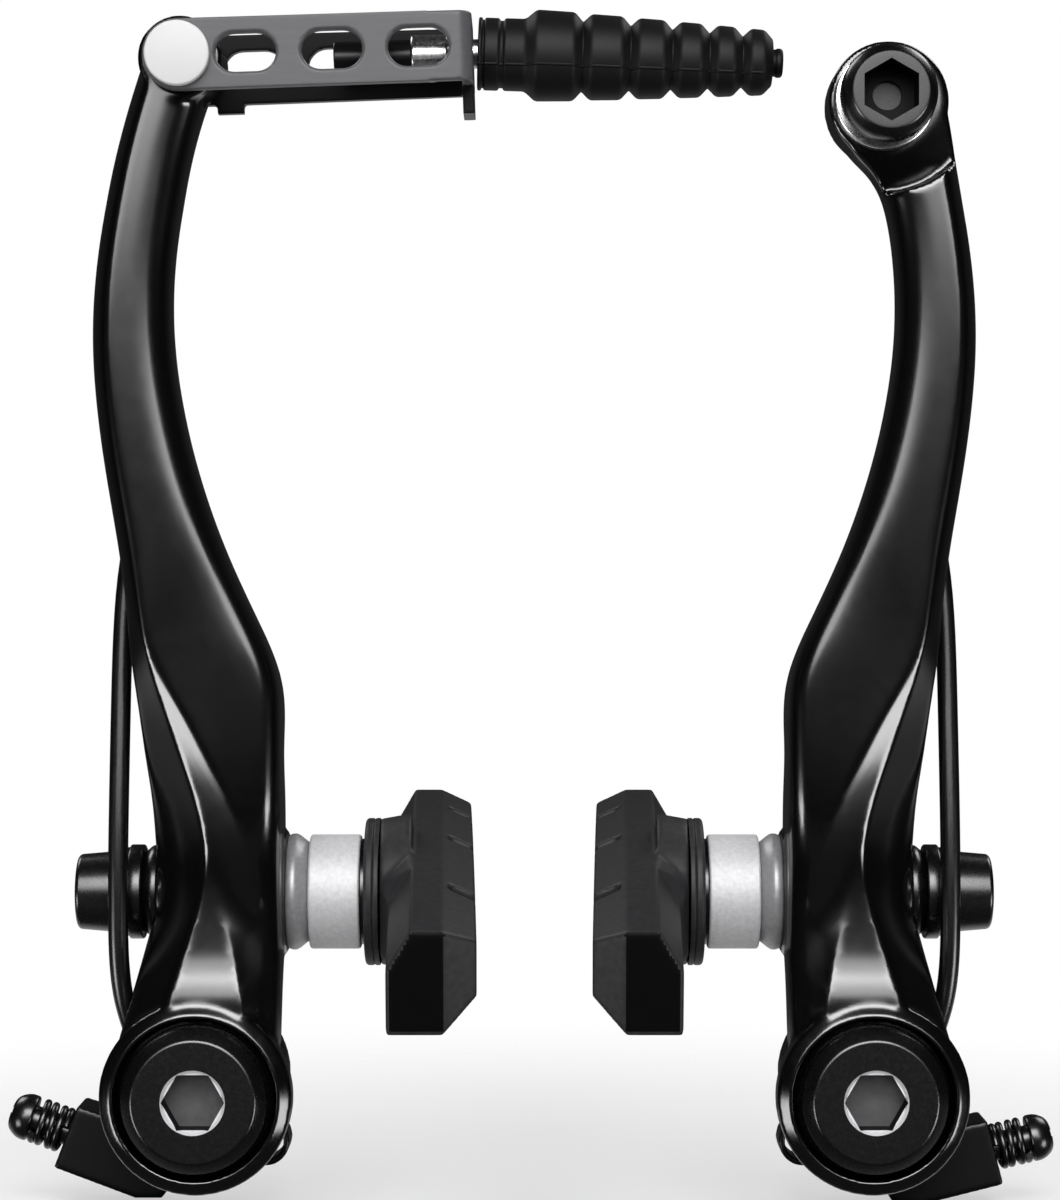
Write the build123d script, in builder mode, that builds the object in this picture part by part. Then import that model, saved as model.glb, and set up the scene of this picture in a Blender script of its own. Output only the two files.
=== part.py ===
from build123d import *
from math import cos, pi, radians, sin
import os

# V brake: two mirror-image levers on frame studs, seen from the front of the wheel.
# X is to the right, Y goes back into the frame and Z is up, in millimetres.
# The origin lies midway between the two pivots, on the plane where the bushes seat.
# A "forward" size is a distance in front of that seat plane, towards -Y.
# "u" is a distance from the pivot towards the wheel.

# Pivots
pivot_x = 34.75
running_clearance = 0.05
moving_gap = 0.3
bush_radius = 5.0
bush_length = 20.5
bush_bore_radius = 4.0
bush_bore_length = 7.0
bush_relief_radius = 4.35
bush_collar_radius = 6.4
bush_collar_length = 1.0
bolt_shank_radius = 3.0
bolt_tip_forward = 8.0
bolt_head_radius = 7.5
bolt_head_height = 3.6
bolt_head_bevel = 1.1
hex_key = 5.0
hex_depth = 3.0

# Arm
boss_radius = 9.9
boss_rear = 6.2
boss_rear_radius = 8.4
boss_neck = 16.5
boss_flare = 2.0
boss_rim = 1.9
boss_lip_height = 1.1
boss_lip_inset = 1.35
bolt_recess_radius = 8.3
arm_front = 22.0
arm_back = 13.6
foot_back = 3.0
corner = 1.6
crown = 0.15
foot_height = 43.5
ear_drop = 10.5
inner_face = 8.65
outer_seat = -4.95

# Brake shoe
post_forward = 8.5
post_height = 20.1
post_radius = 3.0
post_clearance = 0.2
thread_gap = 0.05
post_boss_radius = 6.4
dome_radius = 6.2
dome_thickness = 2.3
dome_edge = 0.55
dome_end_radius = 5.15
seat_sphere = 9.0
spacer_radius = 6.05
spacer_length = 5.45
collar_radius = 5.6
collar_length = 0.5
base_radius = 7.8
base_thickness = 1.55
outer_washer_radius = 5.0
outer_dome_thickness = 1.6
outer_dome_fall = 0.75
outer_cup_thickness = 1.6
flat_washer_radius = 4.7
flat_washer_thickness = 0.8
nut_length = 4.7
nut_base_radius = 4.35
nut_end_radius = 3.95
nut_bevel = 0.4
stud_short = 0.4
pad_front = 31.0
pad_rear = 36.0
pad_height = 10.8
pad_thickness = 8.9
pad_pitch = 8.75
pad_toe = 1.5
rim_radius = 305.0
rim_gap = 12.8
pad_lead = 3.4
pad_top_fall = 1.6
pad_back_bevel = 2.4
pad_back_fall = 4.1
pad_foot_length = 17.0
pad_foot_height = 7.0
pad_foot_drop = 1.1
pad_foot_sink = 0.3
pad_foot_taper = 35.0
groove_width = 1.5
groove_depth = 2.6
groove_places = (-16.0, 4.0, 22.0)

# Return spring
wire_radius = 1.05
coil_radius = 6.3
coil_turns = 2.2
coil_pitch = 2.15
coil_front = 12.2
coil_room = 0.3
leg_start = 3.0
leg_kick = 0.6
leg_out = -8.7
leg_lean = 0.3
leg_bend_height = 54.0
leg_bend_radius = 5.0
leg_hook_u = -5.3
leg_hook_height = 66.0
leg_behind_arm = 0.35
leg_slot_width = 6.6
leg_slot_over = 2.0
tail_end = 2.0
tail_play = 6.0
arm_opening = 30.0
peg_radius = 1.5
peg_depth = 3.0

# Spring holder and its adjusting screw
holder_radius = 8.3
holder_front = 5.9
block_rear = 0.4
block_front = 7.4
stop_radius = 1.1
stop_u = -7.7
stop_reach = 3.5
stop_wall = 0.9
block_top_u = -14.05
block_top_height = -2.97
block_outer_u = -16.55
block_outer_height = -9.5
block_low_u = -7.9
block_low_height = -12.75
block_inner_u = -5.0
block_neck_height = -5.5
right_block_turn = 6.5
screw_radius = 1.5
screw_face_u = -15.3
screw_face_height = -6.26
screw_slope = 20.0
screw_forward = 3.9
screw_in = 8.6
screw_head_radius = 2.45
screw_head_length = 2.3
screw_head_round = 0.9
screw_slot = 0.7
screw_slot_depth = 0.9
lock_coil_radius = 2.05
lock_wire_radius = 0.38
lock_length = 4.15
lock_pitch = 0.84
eyelet_u = 5.9
eyelet_height = -7.0
eyelet_radius = 2.6
eyelet_wall = 0.65

# Cable link, guide and boot on the left arm
pin_u = -1.55
pin_height = 106.6
pin_radius = 2.0
pin_cap_radius = 3.3
pin_cap_thickness = 1.0
pin_head_radius = 2.9
ear_radius = 4.3
link_tilt = 1.9
link_reach = 30.0
link_height = 7.4
link_end_radius = 3.6
link_sheet = 1.2
link_bend = 1.6
link_tab_place = 4.3
link_tab_width = 2.8
link_tab_drop = 0.9
wall_tab_width = 5.0
wall_tab_drop = 2.8
link_side_gap = 0.6
window_length = 6.2
window_height = 3.9
window_first = 6.9
window_pitch = 8.8
guide_radius = 2.1
guide_neck_radius = 1.5
guide_inner_length = 5.2
guide_neck_length = 1.4
guide_outer_length = 9.0
liner_radius = 1.7
liner_length = 8.0
cable_radius = 0.9
boot_tilt = 1.8
boot_gap = 0.5
boot_room = 0.6
boot_wall = 0.8
boot_lip_length = 0.7
boot_lip_radius = 3.75
boot_collar_length = 4.9
boot_collar_radius = 3.5
boot_cone_length = 1.1
boot_folds = 6
boot_first_fold = 3.9
boot_fold_shrink = 0.81
boot_first_radius = 4.7
boot_radius_shrink = 0.94
boot_notch_width = 1.76
boot_notch = 0.85
boot_nipple_radius = 1.5
boot_nipple_length = 1.1

# Cable clamp on the right arm
clamp_u = -1.2
clamp_height = 102.5
eye_radius = 6.2
eye_offset = 0.6
eye_front = 19.6
eye_step_radius = 9.6
clamp_washer_radius = 5.2
clamp_washer_thickness = 1.6
clamp_head_radius = 4.9
clamp_head_height = 5.8
clamp_head_bevel = 1.0
clamp_head_undercut = 0.7
clamp_head_neck = 2.0

os.makedirs("parts", exist_ok=True)


def write(piece, name):
    piece.label = name
    export_step(piece, f"parts/{name}.step")


def write_right(piece, name):
    # the mirror image of a piece drawn on the left
    with BuildPart() as opposite:
        mirror(piece, about=Plane.YZ)
    write(opposite.part, name)


def write_pair(piece, name):
    write(piece, f"left_{name}")
    write_right(piece, f"right_{name}")


def front_plane(forward, u=0.0, height=0.0, tilt=0.0):
    # looks back at the left arm from the front: local x runs towards the wheel, local y up
    return Plane(
        origin=(u - pivot_x, -forward, height),
        x_dir=(cos(radians(tilt)), 0, sin(radians(tilt))),
        z_dir=(0, -1, 0),
    )


boss_front = bush_length + boss_rim
pivot_axis = Axis((-pivot_x, 0, 0), (0, 1, 0))
hex_radius = hex_key / 2 / cos(radians(30))


# Pivot bush: a steel sleeve with a rear collar; its rear bore locates on the frame stud
with BuildPart() as bush:
    with BuildSketch(front_plane(0)):
        Circle(bush_collar_radius)
    extrude(amount=bush_collar_length)
    with BuildSketch(front_plane(0)):
        Circle(bush_radius)
    extrude(amount=bush_length)
    with BuildSketch(front_plane(0)):
        Circle(bush_bore_radius)
    extrude(amount=bush_length, mode=Mode.SUBTRACT)
    with BuildSketch(front_plane(bush_bore_length)):
        Circle(bush_relief_radius)
    extrude(amount=bush_length - bush_bore_length, mode=Mode.SUBTRACT)
write_pair(bush.part, "pivot_bush")

# Pivot bolt: a wide bevelled head with a hex socket, clamped on the bush
with BuildPart() as bolt:
    with BuildSketch(front_plane(bolt_tip_forward)):
        Circle(bolt_shank_radius)
    extrude(amount=bush_length - bolt_tip_forward)
    with BuildSketch(front_plane(bush_length)):
        Circle(bolt_head_radius)
    extrude(amount=bolt_head_height)
    chamfer(bolt.edges().group_by(Axis.Y)[0], bolt_head_bevel)
    with BuildSketch(front_plane(bush_length + bolt_head_height)):
        RegularPolygon(hex_radius, 6)
    extrude(amount=-hex_depth, mode=Mode.SUBTRACT)
write_pair(bolt.part, "pivot_bolt")


# Return spring: the long leg to the peg, the coil and its tail in the holder
pitch_per_mm = coil_pitch / (2 * pi * coil_radius)
leg_forward_low = post_forward + outer_washer_radius + wire_radius + moving_gap
leg_forward_high = arm_back - wire_radius - leg_behind_arm
leg_points = (
    (leg_hook_u, leg_forward_high, leg_hook_height),
    (leg_out + leg_lean, leg_forward_high, leg_bend_height),
    (leg_out, leg_forward_low, post_height),
    (leg_out, leg_forward_low - leg_kick, post_height / 2),
    (-coil_radius, coil_front + leg_start * pitch_per_mm, leg_start),
    (-coil_radius, coil_front, 0),
)
tail_turn = 180 + 360 * coil_turns
tail_u = coil_radius * cos(radians(tail_turn))
tail_height = coil_radius * sin(radians(tail_turn))
coil_rear = coil_front - coil_pitch * coil_turns
coil_plane = Plane(origin=(-pivot_x, -coil_front, 0), x_dir=(-1, 0, 0), z_dir=(0, 1, 0))
coil = coil_plane * Helix(coil_pitch, coil_pitch * coil_turns, coil_radius, lefthand=True)
with BuildPart() as spring:
    with BuildLine() as wire_path:
        FilletPolyline(
            [(u - pivot_x, -forward, height) for u, forward, height in leg_points],
            radius=leg_bend_radius,
        )
        add(coil)
    with BuildSketch(Plane(wire_path.line @ 0, z_dir=wire_path.line % 0)):
        Circle(wire_radius)
    sweep(path=wire_path.line)
    with BuildSketch(front_plane(coil_rear, tail_u, tail_height)):
        Circle(wire_radius)
    extrude(amount=tail_end - coil_rear)
write_pair(spring.part, "spring")

# Spring peg: a steel pin in the arm's back, on the outer side of the leg's end
lean_u = leg_hook_u - leg_points[1][0]
lean_height = leg_hook_height - leg_bend_height
lean = (lean_u**2 + lean_height**2) ** 0.5
peg_offset = wire_radius + peg_radius + running_clearance
peg_u = leg_hook_u - (peg_offset * lean_height + peg_radius * lean_u) / lean
peg_height = leg_hook_height + (peg_offset * lean_u - peg_radius * lean_height) / lean
peg_reach = 2 * wire_radius + 2 * leg_behind_arm
with BuildPart() as peg:
    with BuildSketch(front_plane(arm_back - peg_reach, peg_u, peg_height)):
        Circle(peg_radius)
    extrude(amount=peg_reach + peg_depth)
write_pair(peg.part, "spring_peg")


# Arm levels, bottom to top. Each is a ten-sided cut through the lever: its share of the foot's
# height, outer edge, inner edge, back, where the outer flank starts,
# then the ridge, the scoop's floor and the flat face's border as (u, forward).
foot_levels = (
    (0.092, -8.9, 8.4, 6.5, 17.0, (-4.0, 21.7), (1.0, 22.0), (5.4, 21.7)),
    (0.23, -7.2, 8.55, 6.3, 16.0, (-2.8, 21.8), (1.0, 22.0), (5.2, 21.6)),
    (0.356, -5.7, inner_face, foot_back, 14.0, (-0.9, 20.4), (1.6, 20.4), (4.4, 20.2)),
    (0.517, -4.9, inner_face, foot_back, 13.6, (1.5, 20.0), (3.9, 19.5), (6.4, 19.9)),
    (0.69, -5.3, inner_face, foot_back, 14.5, (0.7, 20.7), (2.5, 20.2), (4.3, 21.6)),
    (0.85, -6.1, inner_face, 7.5, 16.5, (-1.8, 21.3), (-0.6, 21.0), (0.7, arm_front)),
    (1.0, -6.8, 8.4, 12.6, 18.4, (-4.0, 21.8), (-3.4, 21.75), (-2.7, arm_front)),
)
# above the foot each level is a share of the way up, its outer edge and its inner edge:
# first to the neck's top, then from there to the ear of each arm
neck_top = min(pin_height, clamp_height) - ear_drop
neck_levels = (
    (0.103, -7.4, 6.3),
    (0.258, -8.2, 2.6),
    (0.464, -10.1, -0.85),
    (0.691, -11.3, -2.9),
    (0.876, -10.7, -2.75),
    (1.0, -9.65, -1.75),
)
link_top = (
    (0.274, -8.9, -1.1),
    (0.65, -7.5, 0.3),
    (1.0, pin_u - ear_radius, pin_u + ear_radius - corner / 4),
)
clamp_top = (
    (0.21, -9.3, -0.7),
    (0.343, -9.05, 0.3),
    (0.495, -8.8, 2.1),
    (0.724, -8.45, 3.6),
    (0.924, -8.05, 4.1),
)


def lever(top_levels, top_height):
    # the bare lever, lofted through its levels
    cuts = []
    for share, outer, inner, back, flank, ridge, floor, border in foot_levels:
        cuts.append((share * foot_height, outer, inner, back, flank, ridge, floor, border))
    neck_cuts = [(foot_height + share * (neck_top - foot_height), *edges) for share, *edges in neck_levels]
    top_cuts = [(neck_top + share * (top_height - neck_top), *edges) for share, *edges in top_levels]
    for height, outer, inner in neck_cuts + top_cuts:
        ridge = (outer + corner, arm_front)
        border = (inner - 2 * corner, arm_front)
        floor = ((ridge[0] + border[0]) / 2, arm_front + crown)
        cuts.append((height, outer, inner, arm_back, arm_front - 2 * corner, ridge, floor, border))
    with BuildPart() as blank:
        for height, outer, inner, back, flank, ridge, floor, border in cuts:
            front = border[1]
            outline = (
                (outer + corner / 2, back),
                (outer, back + corner / 2),
                (outer, flank),
                ridge,
                floor,
                border,
                (inner - corner, front - corner / 4),
                (inner, front - corner),
                (inner, back + corner / 2),
                (inner - corner / 2, back),
            )
            with BuildSketch(Plane.XY.offset(height)):
                with BuildLine():
                    Polyline([(u - pivot_x, -forward) for u, forward in outline], close=True)
                make_face()
        loft()
    return blank.part


def finish_arm(blank, ear_u, ear_height, ear_r, ear_forward):
    # adds the pivot boss, the shoe boss and the top ear, then bores them
    with BuildPart() as arm:
        add(blank)
        with BuildSketch(Plane.XY):
            with BuildLine():
                Polyline(
                    (-pivot_x, -boss_rear),
                    (boss_rear_radius - pivot_x, -boss_rear),
                    (boss_rear_radius - pivot_x, -boss_neck),
                    (boss_radius - pivot_x, -boss_neck - boss_flare),
                    (boss_radius - pivot_x, boss_lip_height - boss_front),
                    (boss_radius - boss_lip_inset - pivot_x, -boss_front),
                    (-pivot_x, -boss_front),
                    close=True,
                )
            make_face()
        revolve(axis=pivot_axis)
        with BuildSketch(Plane.YZ.offset(outer_seat - pivot_x)):
            with Locations((-post_forward, post_height)):
                Circle(post_boss_radius)
        extrude(amount=inner_face - outer_seat)
        with BuildSketch(front_plane(arm_back, ear_u, ear_height)):
            Circle(ear_r)
        extrude(amount=ear_forward - arm_back)
        # flat seats for the washers on both sides
        with BuildSketch(Plane.YZ.offset(outer_seat - pivot_x)):
            with Locations((-post_forward, post_height)):
                Circle(post_boss_radius)
        extrude(amount=-corner, mode=Mode.SUBTRACT)
        with BuildSketch(Plane.YZ.offset(inner_face - pivot_x)):
            with Locations((-post_forward, post_height)):
                Circle(dome_radius + moving_gap)
        extrude(amount=corner, mode=Mode.SUBTRACT)
        # room for the holder that the boss turns against
        with BuildSketch(front_plane(-moving_gap)):
            Circle(boss_radius + moving_gap)
        extrude(amount=boss_rear + moving_gap, mode=Mode.SUBTRACT)
        # bush bore, bolt head recess and spring chamber
        with BuildSketch(front_plane(boss_rear)):
            Circle(bush_radius + running_clearance)
        extrude(amount=boss_front - boss_rear, mode=Mode.SUBTRACT)
        with BuildSketch(front_plane(bush_length - moving_gap)):
            Circle(bolt_recess_radius)
        extrude(amount=boss_front - bush_length + moving_gap, mode=Mode.SUBTRACT)
        with BuildSketch(front_plane(boss_rear)):
            Circle(coil_radius + wire_radius + coil_room)
        extrude(amount=coil_front + wire_radius + coil_room - boss_rear, mode=Mode.SUBTRACT)
        # slot that lets the spring's leg out of the chamber
        with BuildSketch(front_plane(boss_rear)):
            with Locations((leg_out, post_height / 4)):
                Rectangle(leg_slot_width, post_height / 2 + leg_slot_over)
        extrude(amount=coil_front + 2 * wire_radius + coil_room - boss_rear, mode=Mode.SUBTRACT)
        # blind hole for the spring's peg
        with BuildSketch(front_plane(arm_back - peg_reach, peg_u, peg_height)):
            Circle(peg_radius)
        extrude(amount=peg_reach + peg_depth, mode=Mode.SUBTRACT)
        # hole for the brake shoe's post
        with BuildSketch(Plane.YZ.offset(-2 * pivot_x)):
            with Locations((-post_forward, post_height)):
                Circle(post_radius + post_clearance)
        extrude(amount=2 * pivot_x, mode=Mode.SUBTRACT)
    return arm.part


left_blank = finish_arm(lever(link_top, pin_height), pin_u, pin_height, ear_radius, arm_front)
eye_u = clamp_u - eye_offset
right_blank = finish_arm(lever(clamp_top, clamp_height), eye_u, clamp_height, eye_radius, eye_front)

# Left arm: its top ear carries the cable link's pin
with BuildPart() as left_arm:
    add(left_blank)
    with BuildSketch(front_plane(arm_back, pin_u, pin_height)):
        Circle(pin_radius + running_clearance)
    extrude(amount=arm_front + corner - arm_back, mode=Mode.SUBTRACT)
write(left_arm.part, "left_arm")

# Right arm: its top eye has a stepped seat and a hole for the cable clamp
with BuildPart() as clamp_arm:
    add(right_blank)
    with BuildSketch(front_plane(eye_front, clamp_u, clamp_height)):
        Circle(eye_step_radius)
    extrude(amount=arm_front - eye_front + corner, mode=Mode.SUBTRACT)
    with BuildSketch(front_plane(arm_back, clamp_u, clamp_height)):
        Circle(bolt_shank_radius + thread_gap)
    extrude(amount=eye_front - arm_back, mode=Mode.SUBTRACT)
write_right(clamp_arm.part, "right_arm")

# Spring holder: a ring on the bush with the screw's block, an eyelet and the tail's slot.
# The block is turned a little further round its ring on the right than on the left.
tail_sweep = CenterArc((0, 0), coil_radius, tail_turn - tail_play, arm_opening + 2 * tail_play)


def screw_plane(turn):
    # starts on the block's outer face and looks out along the screw
    plane = front_plane(screw_forward, tilt=turn)
    slope = radians(screw_slope)
    return Plane(
        origin=plane.from_local_coords((screw_face_u, screw_face_height, 0)),
        x_dir=(0, 1, 0),
        z_dir=plane.y_dir * sin(slope) - plane.x_dir * cos(slope),
    )


def spring_holder(turn):
    with BuildPart() as holder:
        with BuildSketch(front_plane(bush_collar_length)):
            Circle(holder_radius)
            with Locations((eyelet_u, eyelet_height)):
                Circle(eyelet_radius)
            with Locations((stop_u, 0)):
                Circle(stop_radius + stop_wall)
        extrude(amount=holder_front - bush_collar_length)
        with BuildSketch(front_plane(block_rear, tilt=turn)):
            with BuildLine():
                Polyline(
                    (block_top_u, block_top_height),
                    (block_outer_u, block_outer_height),
                    (block_low_u, block_low_height),
                    (block_inner_u, block_low_height),
                    (0, -coil_radius),
                    (-coil_radius, block_neck_height),
                    close=True,
                )
            make_face()
        extrude(amount=block_front - block_rear)
        # the arm's boss turns in front of the ring and the frame stud's face lies behind it
        with BuildSketch(front_plane(holder_front)):
            Circle(boss_radius + moving_gap)
        extrude(amount=boss_front, mode=Mode.SUBTRACT)
        with BuildSketch(front_plane(0)):
            Circle(bush_collar_radius + running_clearance)
        extrude(amount=bush_collar_length, mode=Mode.SUBTRACT)
        with BuildSketch(front_plane(0)):
            Circle(bush_radius + running_clearance)
        extrude(amount=holder_front, mode=Mode.SUBTRACT)
        with BuildSketch(front_plane(0)):
            with Locations((eyelet_u, eyelet_height)):
                Circle(eyelet_radius - eyelet_wall)
            with Locations((stop_u, 0)):
                Circle(stop_radius)
        extrude(amount=holder_front, mode=Mode.SUBTRACT)
        with BuildSketch(front_plane(tail_end - moving_gap)):
            SlotArc(tail_sweep, 2 * (wire_radius + moving_gap))
        extrude(amount=holder_front, mode=Mode.SUBTRACT)
        with BuildSketch(screw_plane(turn).offset(screw_radius)):
            Circle(screw_radius + running_clearance)
        extrude(amount=-screw_in - 2 * screw_radius, mode=Mode.SUBTRACT)
    return holder.part


write(spring_holder(0), "left_spring_holder")
write_right(spring_holder(right_block_turn), "right_spring_holder")

# Stop pin: pressed in the holder, it enters the frame's hole behind the seat plane
with BuildPart() as stop:
    with BuildSketch(front_plane(-stop_reach, stop_u)):
        Circle(stop_radius)
    extrude(amount=stop_reach + holder_front)
    chamfer(stop.edges().group_by(Axis.Y)[-1], stop_radius / 3)
write_pair(stop.part, "stop_pin")


# Adjusting screw: its cross-slotted head stands clear of the block by the lock spring's length
def adjusting_screw(turn):
    plane = screw_plane(turn)
    with BuildPart() as screw:
        with BuildSketch(plane.offset(-screw_in)):
            Circle(screw_radius)
        extrude(amount=screw_in + lock_length)
        with BuildSketch(plane.offset(lock_length)):
            Circle(screw_head_radius)
        extrude(amount=screw_head_length)
        rims = screw.edges().filter_by(GeomType.CIRCLE).sort_by(Axis(plane.origin, plane.z_dir))
        fillet(rims[-1], screw_head_round)
        with BuildSketch(plane.offset(lock_length + screw_head_length)):
            Rectangle(2 * (screw_head_radius - screw_head_round), screw_slot)
            Rectangle(screw_slot, 2 * (screw_head_radius - screw_head_round))
        extrude(amount=-screw_slot_depth, mode=Mode.SUBTRACT)
    return screw.part


write(adjusting_screw(0), "left_adjusting_screw")
write_right(adjusting_screw(right_block_turn), "right_adjusting_screw")


# Lock spring: a short coil between the block and the screw's head keeps the screw from turning
def lock_spring(turn):
    end_room = lock_wire_radius + thread_gap
    plane = screw_plane(turn).offset(end_room)
    coil_path = plane * Helix(lock_pitch, lock_length - 2 * end_room, lock_coil_radius)
    with BuildPart() as wound:
        with BuildSketch(Plane(coil_path @ 0, z_dir=coil_path % 0)):
            Circle(lock_wire_radius)
        sweep(path=coil_path)
    return wound.part


write(lock_spring(0), "left_lock_spring")
write_right(lock_spring(right_block_turn), "right_lock_spring")


# Brake shoe hardware, turned about the post's axis
post_plane = Plane(
    origin=(-pivot_x, -post_forward, post_height), x_dir=(1, 0, 0), z_dir=(0, -1, 0)
)
post_axis = Axis(post_plane.origin, post_plane.x_dir)


def sphere_drop(radius):
    # how far a seat's sphere falls back from its crown at this radius
    return seat_sphere - (seat_sphere**2 - radius**2) ** 0.5


spacer_start = inner_face + dome_thickness
spacer_end = spacer_start + spacer_length
collar_end = spacer_end + collar_length
base_face = collar_end + base_thickness
bore = post_radius + post_clearance
dome_crown = spacer_start + sphere_drop(dome_end_radius) - sphere_drop(bore)

# Dome washer: a round-shouldered ring whose spherical end lets the shoe tilt in the spacer
with BuildPart() as dome:
    with BuildSketch(post_plane):
        with BuildLine():
            Polyline(
                (dome_crown, bore),
                (inner_face, bore),
                (inner_face, dome_radius),
                (inner_face + dome_edge, dome_radius),
            )
            TangentArc(
                (inner_face + dome_edge, dome_radius), (spacer_start, dome_end_radius), tangent=(1, 0)
            )
            RadiusArc((spacer_start, dome_end_radius), (dome_crown, bore), -seat_sphere)
        make_face()
    revolve(axis=post_axis)
write_pair(dome.part, "dome_washer")

# Cup spacer: a light alloy ring, hollowed at its outer end for the dome washer
with BuildPart() as spacer:
    with BuildSketch(post_plane):
        with BuildLine():
            Polyline(
                (dome_crown + thread_gap, bore),
                (spacer_end, bore),
                (spacer_end, spacer_radius),
                (spacer_start + thread_gap, spacer_radius),
                (spacer_start + thread_gap, dome_end_radius),
            )
            RadiusArc(
                (spacer_start + thread_gap, dome_end_radius), (dome_crown + thread_gap, bore), -seat_sphere
            )
        make_face()
    revolve(axis=post_axis)
write_pair(spacer.part, "cup_spacer")

outer_dome_end = outer_seat - outer_dome_thickness
outer_cup_end = outer_dome_end - outer_cup_thickness
flat_end = outer_cup_end - flat_washer_thickness
nut_end = flat_end - nut_length
post_end = nut_end + hex_depth + stud_short


# Outer washers: a domed, a cupped and a flat one between the arm and the nut
def outer_washer(name, start, end, start_radius, end_radius):
    with BuildPart() as washer:
        with BuildSketch(post_plane):
            with BuildLine():
                Polyline(
                    (start, bore),
                    (start, start_radius),
                    (end, end_radius),
                    (end, bore),
                    close=True,
                )
            make_face()
        revolve(axis=post_axis)
    write_pair(washer.part, name)


outer_dome_radius = outer_washer_radius - outer_dome_fall
outer_washer("outer_dome_washer", outer_seat, outer_dome_end, outer_washer_radius, outer_dome_radius)
outer_washer("outer_cup_washer", outer_dome_end, outer_cup_end, outer_washer_radius, outer_washer_radius)
outer_washer("flat_washer", outer_cup_end, flat_end, flat_washer_radius, flat_washer_radius)

# Shoe nut: tapers towards its outer end, with a hex socket there
with BuildPart() as nut:
    with BuildSketch(post_plane):
        with BuildLine():
            Polyline(
                (flat_end, 0),
                (flat_end, nut_base_radius),
                (nut_end, nut_end_radius),
                (nut_end, 0),
                close=True,
            )
        make_face()
    revolve(axis=post_axis)
    chamfer(nut.edges().group_by(Axis.X)[0], nut_bevel)
    with BuildSketch(Plane.YZ.offset(nut_end - pivot_x)):
        with Locations((-post_forward, post_height)):
            RegularPolygon(hex_radius, 6)
    extrude(amount=hex_depth, mode=Mode.SUBTRACT)
    with BuildSketch(Plane.YZ.offset(nut_end - pivot_x)):
        with Locations((-post_forward, post_height)):
            Circle(post_radius + thread_gap)
    extrude(amount=nut_length, mode=Mode.SUBTRACT)
write_pair(nut.part, "shoe_nut")

# Shoe post: a stud with a collar on a round base plate
with BuildPart() as post:
    for start, end, radius in (
        (post_end, spacer_end, post_radius),
        (spacer_end, collar_end, collar_radius),
        (collar_end, base_face, base_radius),
    ):
        with BuildSketch(Plane.YZ.offset(start - pivot_x)):
            with Locations((-post_forward, post_height)):
                Circle(radius)
        extrude(amount=end - start)
write_pair(post.part, "shoe_post")

# Shoe pad: a bevelled rubber section swept along the rim's curve, pitched and toed in to it,
# with a foot on the post's plate and wear grooves across its braking face
toe = radians(pad_toe)
pitch = radians(pad_pitch)
pad_side = Plane(
    origin=(-rim_gap / 2, -post_forward, post_height),
    x_dir=(-sin(toe) * cos(pitch), cos(toe) * cos(pitch), sin(pitch)),
    z_dir=(cos(toe), sin(toe), 0),
)
foot_plane = Plane(
    origin=(base_face - pivot_x, -post_forward, post_height),
    x_dir=(0, cos(pitch), sin(pitch)),
    z_dir=(1, 0, 0),
)
foot_depth = pivot_x - rim_gap / 2 - pad_thickness - base_face + pad_foot_sink
pad_top = pad_height / 2


def sag(along):
    # how far the rim's curve falls away at a distance along the pad
    return along**2 / (2 * rim_radius)


with BuildPart() as pad:
    with BuildLine(pad_side) as rim_line:
        ThreePointArc((-pad_front, -sag(pad_front)), (0, 0), (pad_rear, -sag(pad_rear)))
    with BuildSketch(Plane(rim_line.line @ 0, x_dir=-pad_side.z_dir, z_dir=rim_line.line % 0)):
        with BuildLine():
            Polyline(
                (0, pad_top - pad_top_fall),
                (pad_lead, pad_top),
                (pad_thickness - pad_back_bevel, pad_top),
                (pad_thickness, pad_top - pad_back_fall),
                (pad_thickness, -pad_top),
                (pad_lead, -pad_top),
                (0, pad_lead - pad_top),
                close=True,
            )
        make_face()
    sweep(path=rim_line.line)
    with BuildSketch(foot_plane):
        with Locations((0, -pad_foot_drop)):
            Rectangle(pad_foot_length, pad_foot_height)
    extrude(amount=foot_depth, taper=-pad_foot_taper)
    with BuildSketch(pad_side):
        for along in groove_places:
            with Locations((along, 0)):
                Rectangle(groove_width, 2 * pad_height)
    extrude(amount=-groove_depth, mode=Mode.SUBTRACT)
write_pair(pad.part, "shoe_pad")

# Cable link: a folded sheet channel on the left arm's ear, with three windows in each side
side_gap_rear = arm_back - link_side_gap
side_gap_front = arm_front + link_side_gap
link_rear = side_gap_rear - link_sheet
link_front = side_gap_front + link_sheet
guide_forward = (link_front + link_rear) / 2


def link_plane(forward, along=0.0):
    plane = front_plane(forward, pin_u, pin_height, link_tilt)
    return Plane(plane.origin + plane.x_dir * along, x_dir=plane.x_dir, z_dir=plane.z_dir)


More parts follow.
